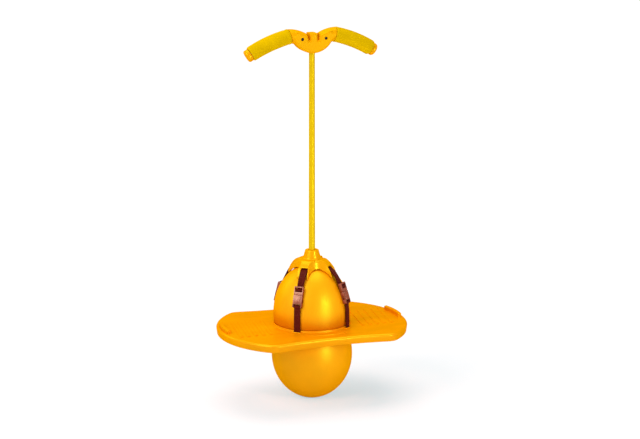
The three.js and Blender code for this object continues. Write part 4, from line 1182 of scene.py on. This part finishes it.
class POGO_OT_claw(bpy.types.Operator):
    """Make the claw that sits on the ball"""

    bl_idname = "pogo.claw"
    bl_label = "Claw"
    bl_options = {"REGISTER", "UNDO"}

    def execute(self, context):
        scene = context.scene
        claw = scene.pogo_claw
        lobes = Lobes(scene)
        base = lobes.top + claw.neck_up
        top = base + claw.neck_height
        turns = [strap_angle(number) for number in STRAP_NUMBERS]
        body = self.dome(claw, lobes, base, top)
        legs = [turn_about_z(self.leg(claw, lobes, base), turn) for turn in turns]
        combine(body, legs, "UNION")
        half, bar_z, foot = scene.pogo_deck.slot_half, lobes.claw_bar, lobes.upper_z
        room, bar_end, socket_depth = 0.8 * MM, 2 * MM, 3.8 * MM
        eye = claw.bar_radius + CLEARANCE + scene.pogo_straps.thick + room
        past = claw.leg_reach + claw.leg_width
        cutters = [self.arch(claw, lobes, top, degrees) for degrees in (0, 90, 180, 270)]
        for turn in turns:
            low = box("pocket", (claw.bar_at - eye, -half, foot), (past, half, bar_z + eye))
            roof = box("pocket", (claw.leg_roof, -half, foot), (past, half, top))
            cutters += [turn_about_z(low, turn), turn_about_z(roof, turn)]
        socket = cylinder("socket", claw.rod_foot + CLEARANCE, base - socket_depth, top + MM)
        combine(body, [*cutters, socket], "DIFFERENCE")
        bars = []
        for turn in turns:
            bar = cylinder("strap_bar", claw.bar_radius, -half - bar_end, half + bar_end, sides=24)
            bars.append(turn_about_z(moved(bar, laid((claw.bar_at, 0, bar_z), "X")), turn))
        combine(body, bars, "UNION")
        soften(body, voxel=0.8 * MM, rounds=8)
        body.name = "claw_moulding"
        dress(smooth(body), "moulding", "board", ["claw"])
        return {"FINISHED"}

    def arch(self, claw, lobes, top, degrees):
        """Cutter of one arch between two legs, wider towards its top."""
        rear = degrees == 90
        radius = claw.rear_arch if rear else claw.arch_radius
        apex = claw.rear_apex if rear else claw.arch_apex
        seat = lobes.top_at(apex)
        draft = (top - seat) * math.tan(claw.arch_draft)
        profile = [(radius, lobes.upper_z), (radius, seat), (radius + draft, top)]
        arch = moved(turned("arch", profile), Matrix.Translation((radius + apex, 0, 0)))
        return turn_about_z(arch, math.radians(degrees))

    def dome(self, claw, lobes, base, top):
        """Neck and dome, turned in one."""
        edge, core, ease = claw.neck_edge, 2 * MM, 2 * MM
        profile = [(core, top), *arc(claw.neck_top - edge, top - edge, edge, edge, DOWN_EDGE)]
        profile.append((claw.neck_base, base + ease))
        start = claw.neck_base + ease
        foot = lobes.top_at(claw.web_radius) + claw.seat + claw.leg_tip
        for share in np.linspace(0, 1, 12):
            cone, round_off = 1 - share, math.sqrt(1 - share**2)
            height = cone + claw.dome_bulge * (round_off - cone)
            profile.append((start + share * (claw.web_radius - start), foot + height * (base - foot)))
        for radius in np.linspace(claw.web_radius, core, 14):
            profile.append((radius, lobes.top_at(radius) + claw.seat + claw.web_lift))
        return turned("dome", profile)

    def leg(self, claw, lobes, base):
        """One leg, drawn from the side."""
        tip = lobes.top_at(claw.leg_reach) + claw.seat
        start = np.array((claw.shoulder, base))
        ease = np.array((claw.shoulder + claw.shoulder_ease, base))
        end = np.array((claw.leg_reach, tip + claw.leg_tip))
        fall = end + np.array((-claw.leg_ease_in, claw.leg_ease_up))
        inner = claw.neck_base / 2
        outline = [(inner, base)]
        outline += [tuple(bezier([start, ease, fall, end], t)) for t in np.linspace(0, 1, 25)]
        for radius in np.linspace(claw.leg_reach, inner, 16):
            outline.append((radius, lobes.top_at(radius) + claw.seat))
        return side_prism("leg", outline, claw.leg_width)


class POGO_OT_rod(bpy.types.Operator):
    """Make the rod, and finish the bolt and the washer that hold it"""

    bl_idname = "pogo.rod"
    bl_label = "Rod"
    bl_options = {"REGISTER", "UNDO"}

    def execute(self, context):
        claw = context.scene.pogo_claw
        low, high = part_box("rod")
        edge, bore = 0.8 * MM, 4.8 * MM
        profile = [
            (bore, low[2]),
            (claw.rod_foot - edge, low[2]),
            (claw.rod_foot, low[2] + edge),
            (claw.rod_head, high[2] - edge),
            (claw.rod_head - edge, high[2]),
            (bore, high[2]),
        ]
        rod = turned("rod_tube", profile, sides=64, closed=True)
        dress(smooth(rod, degrees=40), "paint", "board", ["rod"])
        for node in ("rod_bolt", "rod_washer"):
            piece = solid_copy(node, f"{node}_finished", bevel=0.25 * MM, segments=2)
            dress(piece, "steel", "board", [node])
        return {"FINISHED"}


class ArmPath:
    """Centreline of a drooping arm, from distances along it."""

    def __init__(self, handle, side):
        self.handle = handle
        self.side = side

    def point(self, distance):
        """Place on the centreline at a distance from where the grip begins."""
        handle = self.handle
        start = handle.arm_droop
        turn = start + distance / handle.arm_radius
        out = handle.arm_radius * (math.sin(turn) - math.sin(start))
        drop = handle.arm_radius * (math.cos(start) - math.cos(turn))
        x = self.side * (handle.arm_x + out * math.cos(handle.arm_sweep))
        return Vector((x, out * math.sin(handle.arm_sweep), handle.hub_bottom + handle.arm_up - drop))

    def frame(self, distance):
        """Matrix at a distance: local z along the arm, local y up."""
        step = 0.01 * MM
        along = (self.point(distance + step) - self.point(distance - step)).normalized()
        across = Vector((0, 0, 1)).cross(along).normalized()
        up = along.cross(across)
        turn = Matrix((across, up, along)).transposed().to_4x4()
        return Matrix.Translation(self.point(distance)) @ turn


def swept(name, frames, radii, sides=64, closed=False):
    """Round tube through frames with a radius at each."""
    ring = [Vector((x, y, 0)) for x, y in arc(0, 0, 1, 1, turns_round(sides))]
    rings = [[place @ (radius * spot) for spot in ring] for place, radius in zip(frames, radii)]
    return loft(name, rings, closed)


class POGO_OT_hub(bpy.types.Operator):
    """Make the two shells of the hub and their screws"""

    bl_idname = "pogo.hub"
    bl_label = "Hub"
    bl_options = {"REGISTER", "UNDO"}

    def execute(self, context):
        scene = context.scene
        handle, claw = scene.pogo_handle, scene.pogo_claw
        body = self.bowl(handle)
        combine(body, [self.sleeve(handle, side) for _, side in SIDES], "UNION")
        far, rod_depth, screw_sink = 4 * handle.grip_radius, 26 * MM, 2 * MM
        cutters = []
        for _, side in SIDES:
            end = box("arm_end", (-far / 2, -far / 2, 0), (far / 2, far / 2, far))
            cutters.append(moved(end, ArmPath(handle, side).frame(-CLEARANCE)))
        low, high = handle.hub_bottom - MM, handle.hub_bottom + rod_depth
        cutters.append(cylinder("rod_hole", claw.rod_foot + CLEARANCE, low, high))
        combine(body, cutters, "DIFFERENCE")
        soften(body, voxel=0.7 * MM, rounds=10)
        holes = []
        for _, side in SIDES:
            hole = cylinder("screw_hole", handle.screw_head + CLEARANCE, -screw_sink, 3 * MM, sides=32)
            holes.append(moved(hole, self.screw_place(handle, side)))
        combine(body, holes, "DIFFERENCE")
        for node, keep in (("hub_front", -1), ("hub_rear", 1)):
            shell = new_object(f"{node}_shell", body.data.copy())
            self.split(shell, keep)
            dress(smooth(shell, degrees=60), "hub", "board", [node])
        discard(body)
        for hand, side in SIDES:
            self.screw(handle, hand, side)
        return {"FINISHED"}

    def bowl(self, handle):
        """Bowl seen from the front, with a notch each side of the middle block, edges rounded."""
        bottom = handle.hub_bottom
        lift = math.acos(handle.bowl_half / handle.bowl_radius)
        arm_top = bottom + handle.arm_top
        dip = arm_top - handle.arm_dip
        notch_z = bottom + handle.notch_up
        round_off, radius = handle.notch_round, handle.bowl_radius
        knee = np.array((handle.notch_top, dip))
        notch = [knee + (round_off, 0), knee, knee - (0, round_off)]
        under = np.linspace(FULL_TURN - QUARTER_TURN, FULL_TURN - lift, 40)
        outline = [
            *arc(0, bottom + radius, radius, radius, under),
            (handle.bowl_half, arm_top - 2 * handle.hub_edge),
            (handle.bowl_half - handle.hub_edge, arm_top),
            *(tuple(bezier(notch, t)) for t in np.linspace(0, 1, 9)),
            (handle.notch_foot, notch_z),
            (handle.block_foot, notch_z),
            (handle.block_half, bottom + handle.block_top),
        ]
        mirrored = [(-x, z) for x, z in reversed(outline)][:-1]
        bowl = side_prism("bowl", outline + mirrored, handle.hub_depth)
        with editing(bowl.data) as work:
            rims = [e for e in work.edges if any(len(f.verts) > 4 for f in e.link_faces)]
            shape = {"offset": handle.hub_edge, "offset_type": "OFFSET", "segments": 5, "profile": 0.5}
            bmesh.ops.bevel(work, geom=rims, affect="EDGES", clamp_overlap=False, **shape)
        return bowl

    def sleeve(self, handle, side):
        """Sleeve from the grip's end that dips towards the middle."""
        overlap, steps = 6 * MM, 13
        joint = handle.hub_bottom + handle.arm_up
        inner = Vector((side * handle.sleeve_inner, 0, joint - handle.sleeve_dip))
        outer = Vector((side * (handle.arm_x + overlap), 0, joint))
        bend = Vector(((inner.x + outer.x) / 2, 0, joint + MM))
        across = Vector((0, 1, 0))
        frames = []
        for t in np.linspace(0, 1, steps).tolist():
            along = bezier([bend - inner, outer - bend], t).normalized()
            turn = Matrix((across, along.cross(across), along)).transposed().to_4x4()
            frames.append(Matrix.Translation(bezier([inner, bend, outer], t)) @ turn)
        return swept("sleeve", frames, [handle.sleeve_radius] * steps)

    def split(self, shell, keep):
        """Keeps the front or the rear half, closed at the parting plane."""
        plane = {"plane_co": (0, keep * CLEARANCE / 2, 0), "plane_no": (0, keep, 0)}
        with editing(shell.data) as work:
            everything = [*work.verts, *work.edges, *work.faces]
            cut = bmesh.ops.bisect_plane(work, geom=everything, clear_inner=True, **plane)
            edges = [e for e in cut["geom_cut"] if isinstance(e, bmesh.types.BMEdge)]
            bmesh.ops.triangle_fill(work, edges=edges, use_beauty=True)
            bmesh.ops.recalc_face_normals(work, faces=work.faces)

    def screw_place(self, handle, side):
        """Matrix that stands a screw in the front face: local z points out of the hub."""
        face = (side * handle.screw_x, -handle.hub_depth / 2, handle.hub_bottom + handle.screw_up)
        return laid(face, "X")

    def screw(self, handle, hand, side):
        """Pan head with a cross recess, and its shank."""
        head, edge, shank = handle.screw_head, 0.9 * MM, 1.7 * MM
        seat, point = -2 * MM, -20 * MM
        arm, slit, recess, skew = 1.9 * MM, 0.4 * MM, 1.3 * MM, 0.4
        profile = [
            (TIP, point),
            (shank, point + 2 * MM),
            (shank, seat),
            (head, seat),
            *arc(head - edge, -1.2 * MM, edge, edge, np.radians((0, 25, 50, 75))),
            (TIP, -0.2 * MM),
        ]
        screw = turned("screw", profile, sides=40)
        cross = []
        for turn in (skew, skew + QUARTER_TURN):
            slot = box("cross", (-arm, -slit, -recess), (arm, slit, MM))
            cross.append(turn_about_z(slot, turn))
        combine(screw, cross, "DIFFERENCE")
        moved(screw, self.screw_place(handle, side))
        screw.name = f"hub_screw_{hand}_finished"
        dress(smooth(screw, degrees=35), "black", "board", [f"hub_screw_{hand}"])


class POGO_OT_grips(bpy.types.Operator):
    """Make the foam grips and the end caps, and finish the tubes in them"""

    bl_idname = "pogo.grips"
    bl_label = "Grips"
    bl_options = {"REGISTER", "UNDO"}

    def execute(self, context):
        handle = context.scene.pogo_handle
        for hand, side in SIDES:
            path = ArmPath(handle, side)
            self.grip(handle, hand, path)
            self.cap(handle, hand, path)
            dress_node(f"{hand}_handlebar", "steel")
        return {"FINISHED"}

    def grip(self, handle, hand, path):
        """Foam sleeve with rounded ends, a pressed band near the hub and a slight crown."""
        radius, long, bore = handle.grip_radius, handle.grip_length, handle.bar_radius + CLEARANCE
        edge, end, run_in, crown = 2.6 * MM, 0.2 * MM, 0.3 * MM, 0.3 * MM
        band_at, band_width, band_depth = 9 * MM, 1.1 * MM, 0.45 * MM
        inner_turns = np.radians((-90, -70, -50, -30, -10, 0))
        outer_turns = np.radians((0, 10, 30, 50, 70, 90))
        stations = arc(radius - edge, edge + end, edge, edge, inner_turns)
        for s in np.linspace(edge + run_in, long - edge - run_in, 64):
            band = band_depth * math.exp(-(((s - band_at) / band_width) ** 2))
            swell = crown * math.sin(math.pi * s / long) - crown
            stations.append((radius + swell - band, s))
        stations += arc(radius - edge - crown, long - edge - end, edge, edge, outer_turns)
        stations += [(bore, s) for s in np.linspace(long - 2 * end, 2 * end, 24)]
        frames = [path.frame(s) for _, s in stations]
        grip = swept(f"{hand}_grip_foam", frames, [r for r, _ in stations], sides=72, closed=True)
        dress(smooth(grip, degrees=60), "foam", "board", [f"{hand}_grip"])

    def cap(self, handle, hand, path):
        """Rounded end cap with a plug in the tube."""
        edge, radius, out = handle.cap_edge, handle.cap_radius, handle.cap_length
        plug, painted_shade, gap, bevel = handle.bar_radius - 2.3 * MM, -12 * MM, 0.3 * MM, 0.6 * MM
        profile = [
            (TIP, painted_shade),
            (plug - MM, painted_shade),
            (plug, painted_shade + MM),
            (plug, gap),
            (radius - bevel, gap),
            (radius, gap + bevel),
            *arc(radius - edge, out - edge, edge, edge, np.radians(np.linspace(0, 90, 7))),
            (TIP, out),
        ]
        cap = moved(turned(f"{hand}_cap", profile, sides=64), path.frame(handle.grip_length))
        dress(smooth(cap, degrees=50), "moulding", "board", [f"{hand}_end_cap"])


class StrapPlane:
    """The upright plane of one strap: x is the radius from the axis, z the height."""

    def __init__(self, number):
        joints = {joint["name"]: joint for joint in frame["joints"]}
        pins = [Vector(joints[f"buckle_{number}_squeeze_{hand}"]["pos_m"]) for hand in "ab"]
        pin = (pins[0] + pins[1]) / 2
        self.up = Vector(joints[f"buckle_{number}_release"]["axis"])
        self.turn = math.atan2(pin.y, pin.x)
        out = Vector((math.cos(self.turn), math.sin(self.turn), 0))
        self.lean = math.asin(-self.up.dot(out))
        mouth = pin + CLEARANCE * self.up
        self.mouth = np.array((mouth.dot(out), mouth.z))
        across = Vector((-math.sin(self.turn), math.cos(self.turn), 0))
        axes = Matrix((across.cross(self.up), across, self.up)).transposed().to_4x4()
        self.stand = Matrix.Translation(mouth) @ axes

    def buckle(self, x, z):
        """Point from the buckle's own frame: x out of its face, z up from the socket's mouth."""
        c, s = math.cos(self.lean), math.sin(self.lean)
        return self.mouth + np.array((x * c - z * s, x * s + z * c))

    def place(self, x, y, z):
        """Point in the whole object's frame."""
        c, s = math.cos(self.turn), math.sin(self.turn)
        return (c * x - s * y, s * x + c * y, z)


def catmull(points, samples):
    """Smooth line through points, with the ends carried on."""
    points = [np.asarray(p, float) for p in points]
    padded = [2 * points[0] - points[1], *points, 2 * points[-1] - points[-2]]
    found = []
    for share in np.linspace(0, len(points) - 1, samples):
        i = min(int(share), len(points) - 2)
        t = share - i
        a, b, c, d = padded[i : i + 4]
        bend, twist = 2 * a - 5 * b + 4 * c - d, 3 * b - a - 3 * c + d
        found.append(0.5 * (2 * b + (c - a) * t + bend * t**2 + twist * t**3))
    return np.array(found)


def line_normals(line, closed=False):
    """Unit tangents and normals along a line, open or joined end to end."""
    if closed:
        tangent = np.roll(line, -1, axis=0) - np.roll(line, 1, axis=0)
    else:
        tangent = np.gradient(line, axis=0)
    tangent /= np.linalg.norm(tangent, axis=1)[:, None]
    return tangent, np.column_stack([-tangent[:, 1], tangent[:, 0]])


def distances(line):
    """Distance of each point of a line from its start."""
    steps = np.linalg.norm(np.diff(line, axis=0), axis=1)
    return np.concatenate([[0], np.cumsum(steps)])


def loop(centre, radius):
    """Closed line round a bar."""
    return np.array(arc(*centre, radius, radius, turns_round(sides=40)))


class Ribbon:
    """Webbing under construction: points, faces and the weave's measures in millimetres."""

    def __init__(self, plane, width):
        self.plane = plane
        self.width = width
        self.points, self.faces, self.weave = [], [], []

    def section(self, thick):
        """Flat section with round selvedges: across and through."""
        edge = thick / 2
        flat = self.width / 2 - edge
        across = np.linspace(-flat, flat, 13)
        right = arc(flat, 0, edge, edge, np.radians((45, 0, -45)))
        left = arc(-flat, 0, -edge, edge, np.radians((-45, 0, 45)))
        return [*((y, edge) for y in across), *right, *((y, -edge) for y in across[::-1]), *left]

    def add(self, line, thick, closed=False):
        """Adds one length of webbing along a line in the strap's plane."""
        section = self.section(thick)
        _, normal = line_normals(line, closed)
        first = len(self.points)
        for here, out, distance in zip(line, normal, distances(line)):
            for y, through in section:
                spot = here + out * through
                self.points.append(self.plane.place(spot[0], y, spot[1]))
                self.weave.append((y / MM, distance / MM, 0.0))
        faces = loft_faces(len(section), len(line), closed)
        self.faces += [tuple(first + i for i in face) for face in faces]

    def make(self, name):
        mesh = bpy.data.meshes.new(name)
        mesh.from_pydata(self.points, [], self.faces)
        keep_vectors(mesh, "weave", self.weave)
        with editing(mesh) as work:
            bmesh.ops.recalc_face_normals(work, faces=work.faces)
        return smooth(new_object(name, mesh), degrees=60)


class POGO_OT_straps(bpy.types.Operator):
    """Make the webbing straps with their sewn loops"""

    bl_idname = "pogo.straps"
    bl_label = "Straps"
    bl_options = {"REGISTER", "UNDO"}

    def execute(self, context):
        scene = context.scene
        tree = stitch_tree()
        for number in STRAP_NUMBERS:
            plane = StrapPlane(number)
            upper = self.upper(scene, plane, number)
            lower = self.lower(scene, plane, number)
            self.sew(scene, tree, plane, f"upper_seam_{number}", *upper)
            self.sew(scene, tree, plane, f"lower_seam_{number}", *lower)
        return {"FINISHED"}

    def upper(self, scene, plane, number):
        """Doubled webbing from the claw's bar to the ladder lock."""
        claw, strap = scene.pogo_claw, scene.pogo_straps
        bar = np.array((claw.bar_at, Lobes(scene).claw_bar))
        ladder = plane.buckle(0, strap.ladder_bar_up)
        side = strap.ladder_bar + CLEARANCE + strap.thick
        over = claw.bar_radius + CLEARANCE + strap.thick / 2
        route = [
            bar + (MM, over - 0.6 * MM),
            (claw.leg_reach - strap.mouth_in, bar[1] - strap.mouth_drop),
            plane.buckle(-side - strap.slack, strap.lock_top + strap.lead),
            plane.buckle(-side - 1.2 * MM, strap.lock_top + MM),
            plane.buckle(-side + strap.thick / 2, strap.ladder_bar_up),
        ]
        line = catmull(route, samples=90)
        _, normal = line_normals(line)
        layer, parting = strap.thick - 0.25 * MM, 0.03 * MM
        flex, seam_at = (40, 70), 14 * MM
        ribbon = Ribbon(plane, strap.width)
        for way in (1, -1):
            ribbon.add(line + normal * way * (layer / 2 + parting), layer)
        ribbon.add(loop(bar, over), strap.thick, closed=True)
        ribbon.add(loop(ladder, side - strap.thick / 2), strap.thick, closed=True)
        piece = ribbon.make(f"upper_webbing_{number}")
        start, end = (plane.place(line[i][0], 0, line[i][1]) for i in flex)
        across = ("board", f"plug_{number}", start, end)
        dress(piece, "webbing", None, [f"upper_strap_{number}"], across)
        return line, layer, seam_at

    def lower(self, scene, plane, number):
        """Webbing from the socket's bar down through the deck's slot to the bar below."""
        deck, strap = scene.pogo_deck, scene.pogo_straps
        lobes, seam_at = Lobes(scene), 4 * MM
        outside = strap.buckle_bar + CLEARANCE + strap.thick / 2
        eye = deck.bar_radius + CLEARANCE + strap.thick / 2
        beside = lobes.upper + 4 * CLEARANCE + strap.thick
        buckle_bar = plane.buckle(0, -strap.buckle_bar_down)
        deck_bar = np.array((lobes.slot, deck.top - deck.bar_drop))
        top = buckle_bar - (0, outside)
        slot = np.array((lobes.slot, deck.top + deck.slot_rise))
        bends = [(beside, slot[1] + (top[1] - slot[1]) * share) for share in (0.7, 0.45)]
        line = catmull([top, *bends, slot, deck_bar + (0, eye)], samples=80)
        ribbon = Ribbon(plane, strap.width)
        ribbon.add(line, strap.thick)
        ribbon.add(loop(buckle_bar, outside), strap.thick, closed=True)
        ribbon.add(loop(deck_bar, eye), strap.thick, closed=True)
        piece = ribbon.make(f"lower_webbing_{number}")
        dress(piece, "webbing", "board", [f"lower_strap_{number}"])
        return line, strap.thick / 2, seam_at

    def sew(self, scene, tree, plane, name, line, lift, start):
        """Box of stitches on the outer face of a strap, from a distance along it."""
        strap = scene.pogo_straps
        tangent, normal = line_normals(line)
        reach = distances(line)
        outward = 1.0 if normal[len(line) // 2][0] > 0 else -1.0
        half, long, pitch = strap.width / 2 - 2 * MM, 11 * MM, strap.stitch * 1.35
        proud = 0.05 * MM
        flat = []
        for y in (-half, half):
            flat += [(y, start + s, False) for s in np.arange(0, long + pitch / 2, pitch)]
        for s in (0.0, long):
            flat += [(y, start + s, True) for y in np.arange(-half + pitch, half - pitch / 2, pitch)]
        points, runs = [], []
        for y, distance, crosswise in flat:
            spot = np.array([np.interp(distance, reach, line[:, k]) for k in (0, 1)])
            way = np.array([np.interp(distance, reach, tangent[:, k]) for k in (0, 1)])
            out = np.array((-way[1], way[0])) * outward
            spot = spot + out * (lift + proud)
            points.append(plane.place(spot[0], y, spot[1]))
            run = (0, 1, 0) if crosswise else (way[0], 0, way[1])
            runs.append(plane.place(*run))
        mesh = bpy.data.meshes.new(name)
        mesh.from_pydata(points, [], [])
        keep_vectors(mesh, "run", runs)
        seam = tree.grow(name, mesh, "thread", {"Length": strap.stitch, "Thread": strap.thread})
        dress(smooth(seam), "thread", "board")


class POGO_OT_buckles(bpy.types.Operator):
    """Finish the side-release buckles: rounded edges, a raised panel and finger ridges"""

    bl_idname = "pogo.buckles"
    bl_label = "Buckles"
    bl_options = {"REGISTER", "UNDO"}

    def execute(self, context):
        buckle = context.scene.pogo_buckles
        for number in STRAP_NUMBERS:
            stand = StrapPlane(number).stand
            parts = {
                "socket": ("board", [self.panel(buckle)]),
                "plug": (f"plug_{number}", []),
                "latch_a": (f"latch_{number}_a", self.ridges(buckle, 1)),
                "latch_b": (f"latch_{number}_b", self.ridges(buckle, -1)),
            }
            for part, (body, extras) in parts.items():
                node = f"buckle_{number}_{part}"
                piece = solid_copy(node, node, buckle.edge)
                extras = [moved(extra, stand) for extra in extras]
                piece = smooth(merge(f"{node}_finished", [piece, *extras]), degrees=50)
                dress(piece, "buckle", body, [node])
        return {"FINISHED"}

    def panel(self, buckle):
        """Raised panel on the socket's face, with rounded edges."""
        half, tall = buckle.panel_half, (buckle.panel_low - buckle.panel_high) / 2
        middle = -(buckle.panel_low + buckle.panel_high) / 2
        face, rise, corner, sunk = buckle.thick / 2, buckle.panel_rise, 1.6 * MM, 0.5 * MM

        def ring(inset, x):
            sizes = (half - inset, tall - inset, corner - inset)
            return [(x, y, z) for y, z in rounded_rectangle(0, middle, *sizes, count=7)]

        section = [(0, face - sunk), *arc(rise, face, -rise, rise, np.radians((0, 30, 60, 85)))]
        return loft("panel", [ring(*spot) for spot in section])

    def ridges(self, buckle, side):
        """Small ridges on the side of a latch that the finger presses."""
        made = []
        for k in range(buckle.ridge_count):
            ridge = cylinder("ridge", buckle.ridge, -buckle.ridge_half, buckle.ridge_half, sides=12)
            down = buckle.ridge_start + k * buckle.ridge_pitch
            made.append(moved(ridge, laid((0, side * buckle.ridge_out, -down), "Y")))
        return made


LAMPS = {
    "key_light": (43, 10, 2.0, (0.35, 0.5), 12),
    "low_light": (40, -9, 1.8, (0.3, 0.2), 4),
    "left_light": (-48, 30, 2.6, (1.6, 1.6), 38),
    "back_light": (-118, 24, 2.6, (1.4, 1.4), 12),
    "top_light": (180, 78, 2.4, (2.4, 2.4), 50),
}


class POGO_OT_stage(bpy.types.Operator):
    """Set the floor, the light and the camera"""

    bl_idname = "pogo.stage"
    bl_label = "Stage"
    bl_options = {"REGISTER", "UNDO"}

    def execute(self, context):
        scene = context.scene
        stage = scene.pogo_stage
        self.floor(scene)
        self.world(scene)
        for name, values in LAMPS.items():
            self.lamp(stage, name, *values)
        self.camera(scene, stage)
        scene.view_settings.view_transform = "Standard"
        return {"FINISHED"}

    def aim(self, stage, azimuth, elevation, distance):
        """Matrix of a lamp or camera that looks at the toy from a side."""
        flat = math.cos(elevation)
        back = Vector((math.sin(azimuth) * flat, -math.cos(azimuth) * flat, math.sin(elevation)))
        turn = back.to_track_quat("Z", "Y").to_matrix().to_4x4()
        return Matrix.Translation(Vector((0, 0, stage.aim)) + distance * back) @ turn

    def lamp(self, stage, name, turn, elevation, distance, size, watts):
        """Soft box, with its turn counted from the camera; angles are in degrees."""
        light = bpy.data.lights.new(name, "AREA")
        light.shape = "RECTANGLE"
        light.size, light.size_y = size
        light.energy = watts
        azimuth, elevation = stage.azimuth + math.radians(turn), math.radians(elevation)
        new_object(name, light).matrix_world = self.aim(stage, azimuth, elevation, distance)

    def floor(self, scene):
        """Pale floor that runs out of the picture and keeps the shadow."""
        reach, near, far = 14.0, 0.3, 3.0
        near_glow, far_glow, seen_tone = (0.3, 0.553, 0.605), (0.9, 0.92, 0.93), (0.66, 0.43, 0.39)
        corners = [(-reach, -reach, 0), (reach, -reach, 0), (reach, reach, 0), (-reach, reach, 0)]
        mesh = bpy.data.meshes.new("floor")
        mesh.from_pydata(corners, [], [(0, 1, 2, 3)])
        floor = new_object("floor", mesh)
        f = material("floor_white")
        seen = f.seen()
        away = f.node("ShaderNodeVectorMath", {"operation": "LENGTH"}, {0: f.place()}, "Value")
        glow = f.mix(f.between(near, far, away), near_glow, far_glow)
        glow = f.mix(seen, (0, 0, 0), glow)
        constants = {"Emission Color": glow, "Emission Strength": 1.0, **NO_WHITE}
        base = f.mix(seen, tuple(scene.pogo_finishes.floor), seen_tone)
        mesh.materials.append(f.close(base, 0.9, constants=constants))

    def world(self, scene):
        """Pale surroundings, white where the camera or a gloss sees them."""
        light = 0.27
        world = bpy.data.worlds.new("studio")
        f = Finish(world)
        sockets = {"Color": (1, 1, 1, 1), "Strength": light + (1 - light) * f.seen()}
        f.node("ShaderNodeOutputWorld", None, {"Surface": f.node("ShaderNodeBackground", None, sockets)})
        scene.world = world

    def camera(self, scene, stage):
        """Camera at the photograph's angle, with its framing."""
        lens = bpy.data.cameras.new("photo_camera")
        lens.sensor_width = SENSOR_WIDTH
        lens.lens = SENSOR_WIDTH / PHOTO_WIDTH * stage.distance / stage.scale
        lens.shift_x = stage.shift_x / PHOTO_WIDTH
        lens.shift_y = -stage.shift_y / PHOTO_WIDTH
        camera = new_object("photo_camera", lens)
        camera.matrix_world = self.aim(stage, stage.azimuth, stage.elevation, stage.distance)
        scene.camera = camera


OPERATORS = (
    POGO_OT_stage,
    POGO_OT_ball,
    POGO_OT_valve,
    POGO_OT_deck,
    POGO_OT_claw,
    POGO_OT_rod,
    POGO_OT_hub,
    POGO_OT_grips,
    POGO_OT_straps,
    POGO_OT_buckles,
)


class POGO_PT_panel(bpy.types.Panel):
    """Lists the pieces of the pogo ball"""

    bl_idname = "POGO_PT_panel"
    bl_label = "Pogo Ball"
    bl_space_type = "VIEW_3D"
    bl_region_type = "UI"
    bl_category = "Pogo Ball"

    def draw(self, context):
        for operator in OPERATORS:
            self.layout.operator(operator.bl_idname)


CLASSES = (*GROUPS.values(), *OPERATORS, POGO_PT_panel)


def register():
    for each in CLASSES:
        bpy.utils.register_class(each)
    for name, group in GROUPS.items():
        setattr(bpy.types.Scene, name, PointerProperty(type=group))


def unregister():
    for name in GROUPS:
        delattr(bpy.types.Scene, name)
    for each in reversed(CLASSES):
        bpy.utils.unregister_class(each)


def main():
    register()
    for operator in OPERATORS:
        family, verb = operator.bl_idname.split(".")
        getattr(getattr(bpy.ops, family), verb)()


if __name__ == "__main__":
    main()
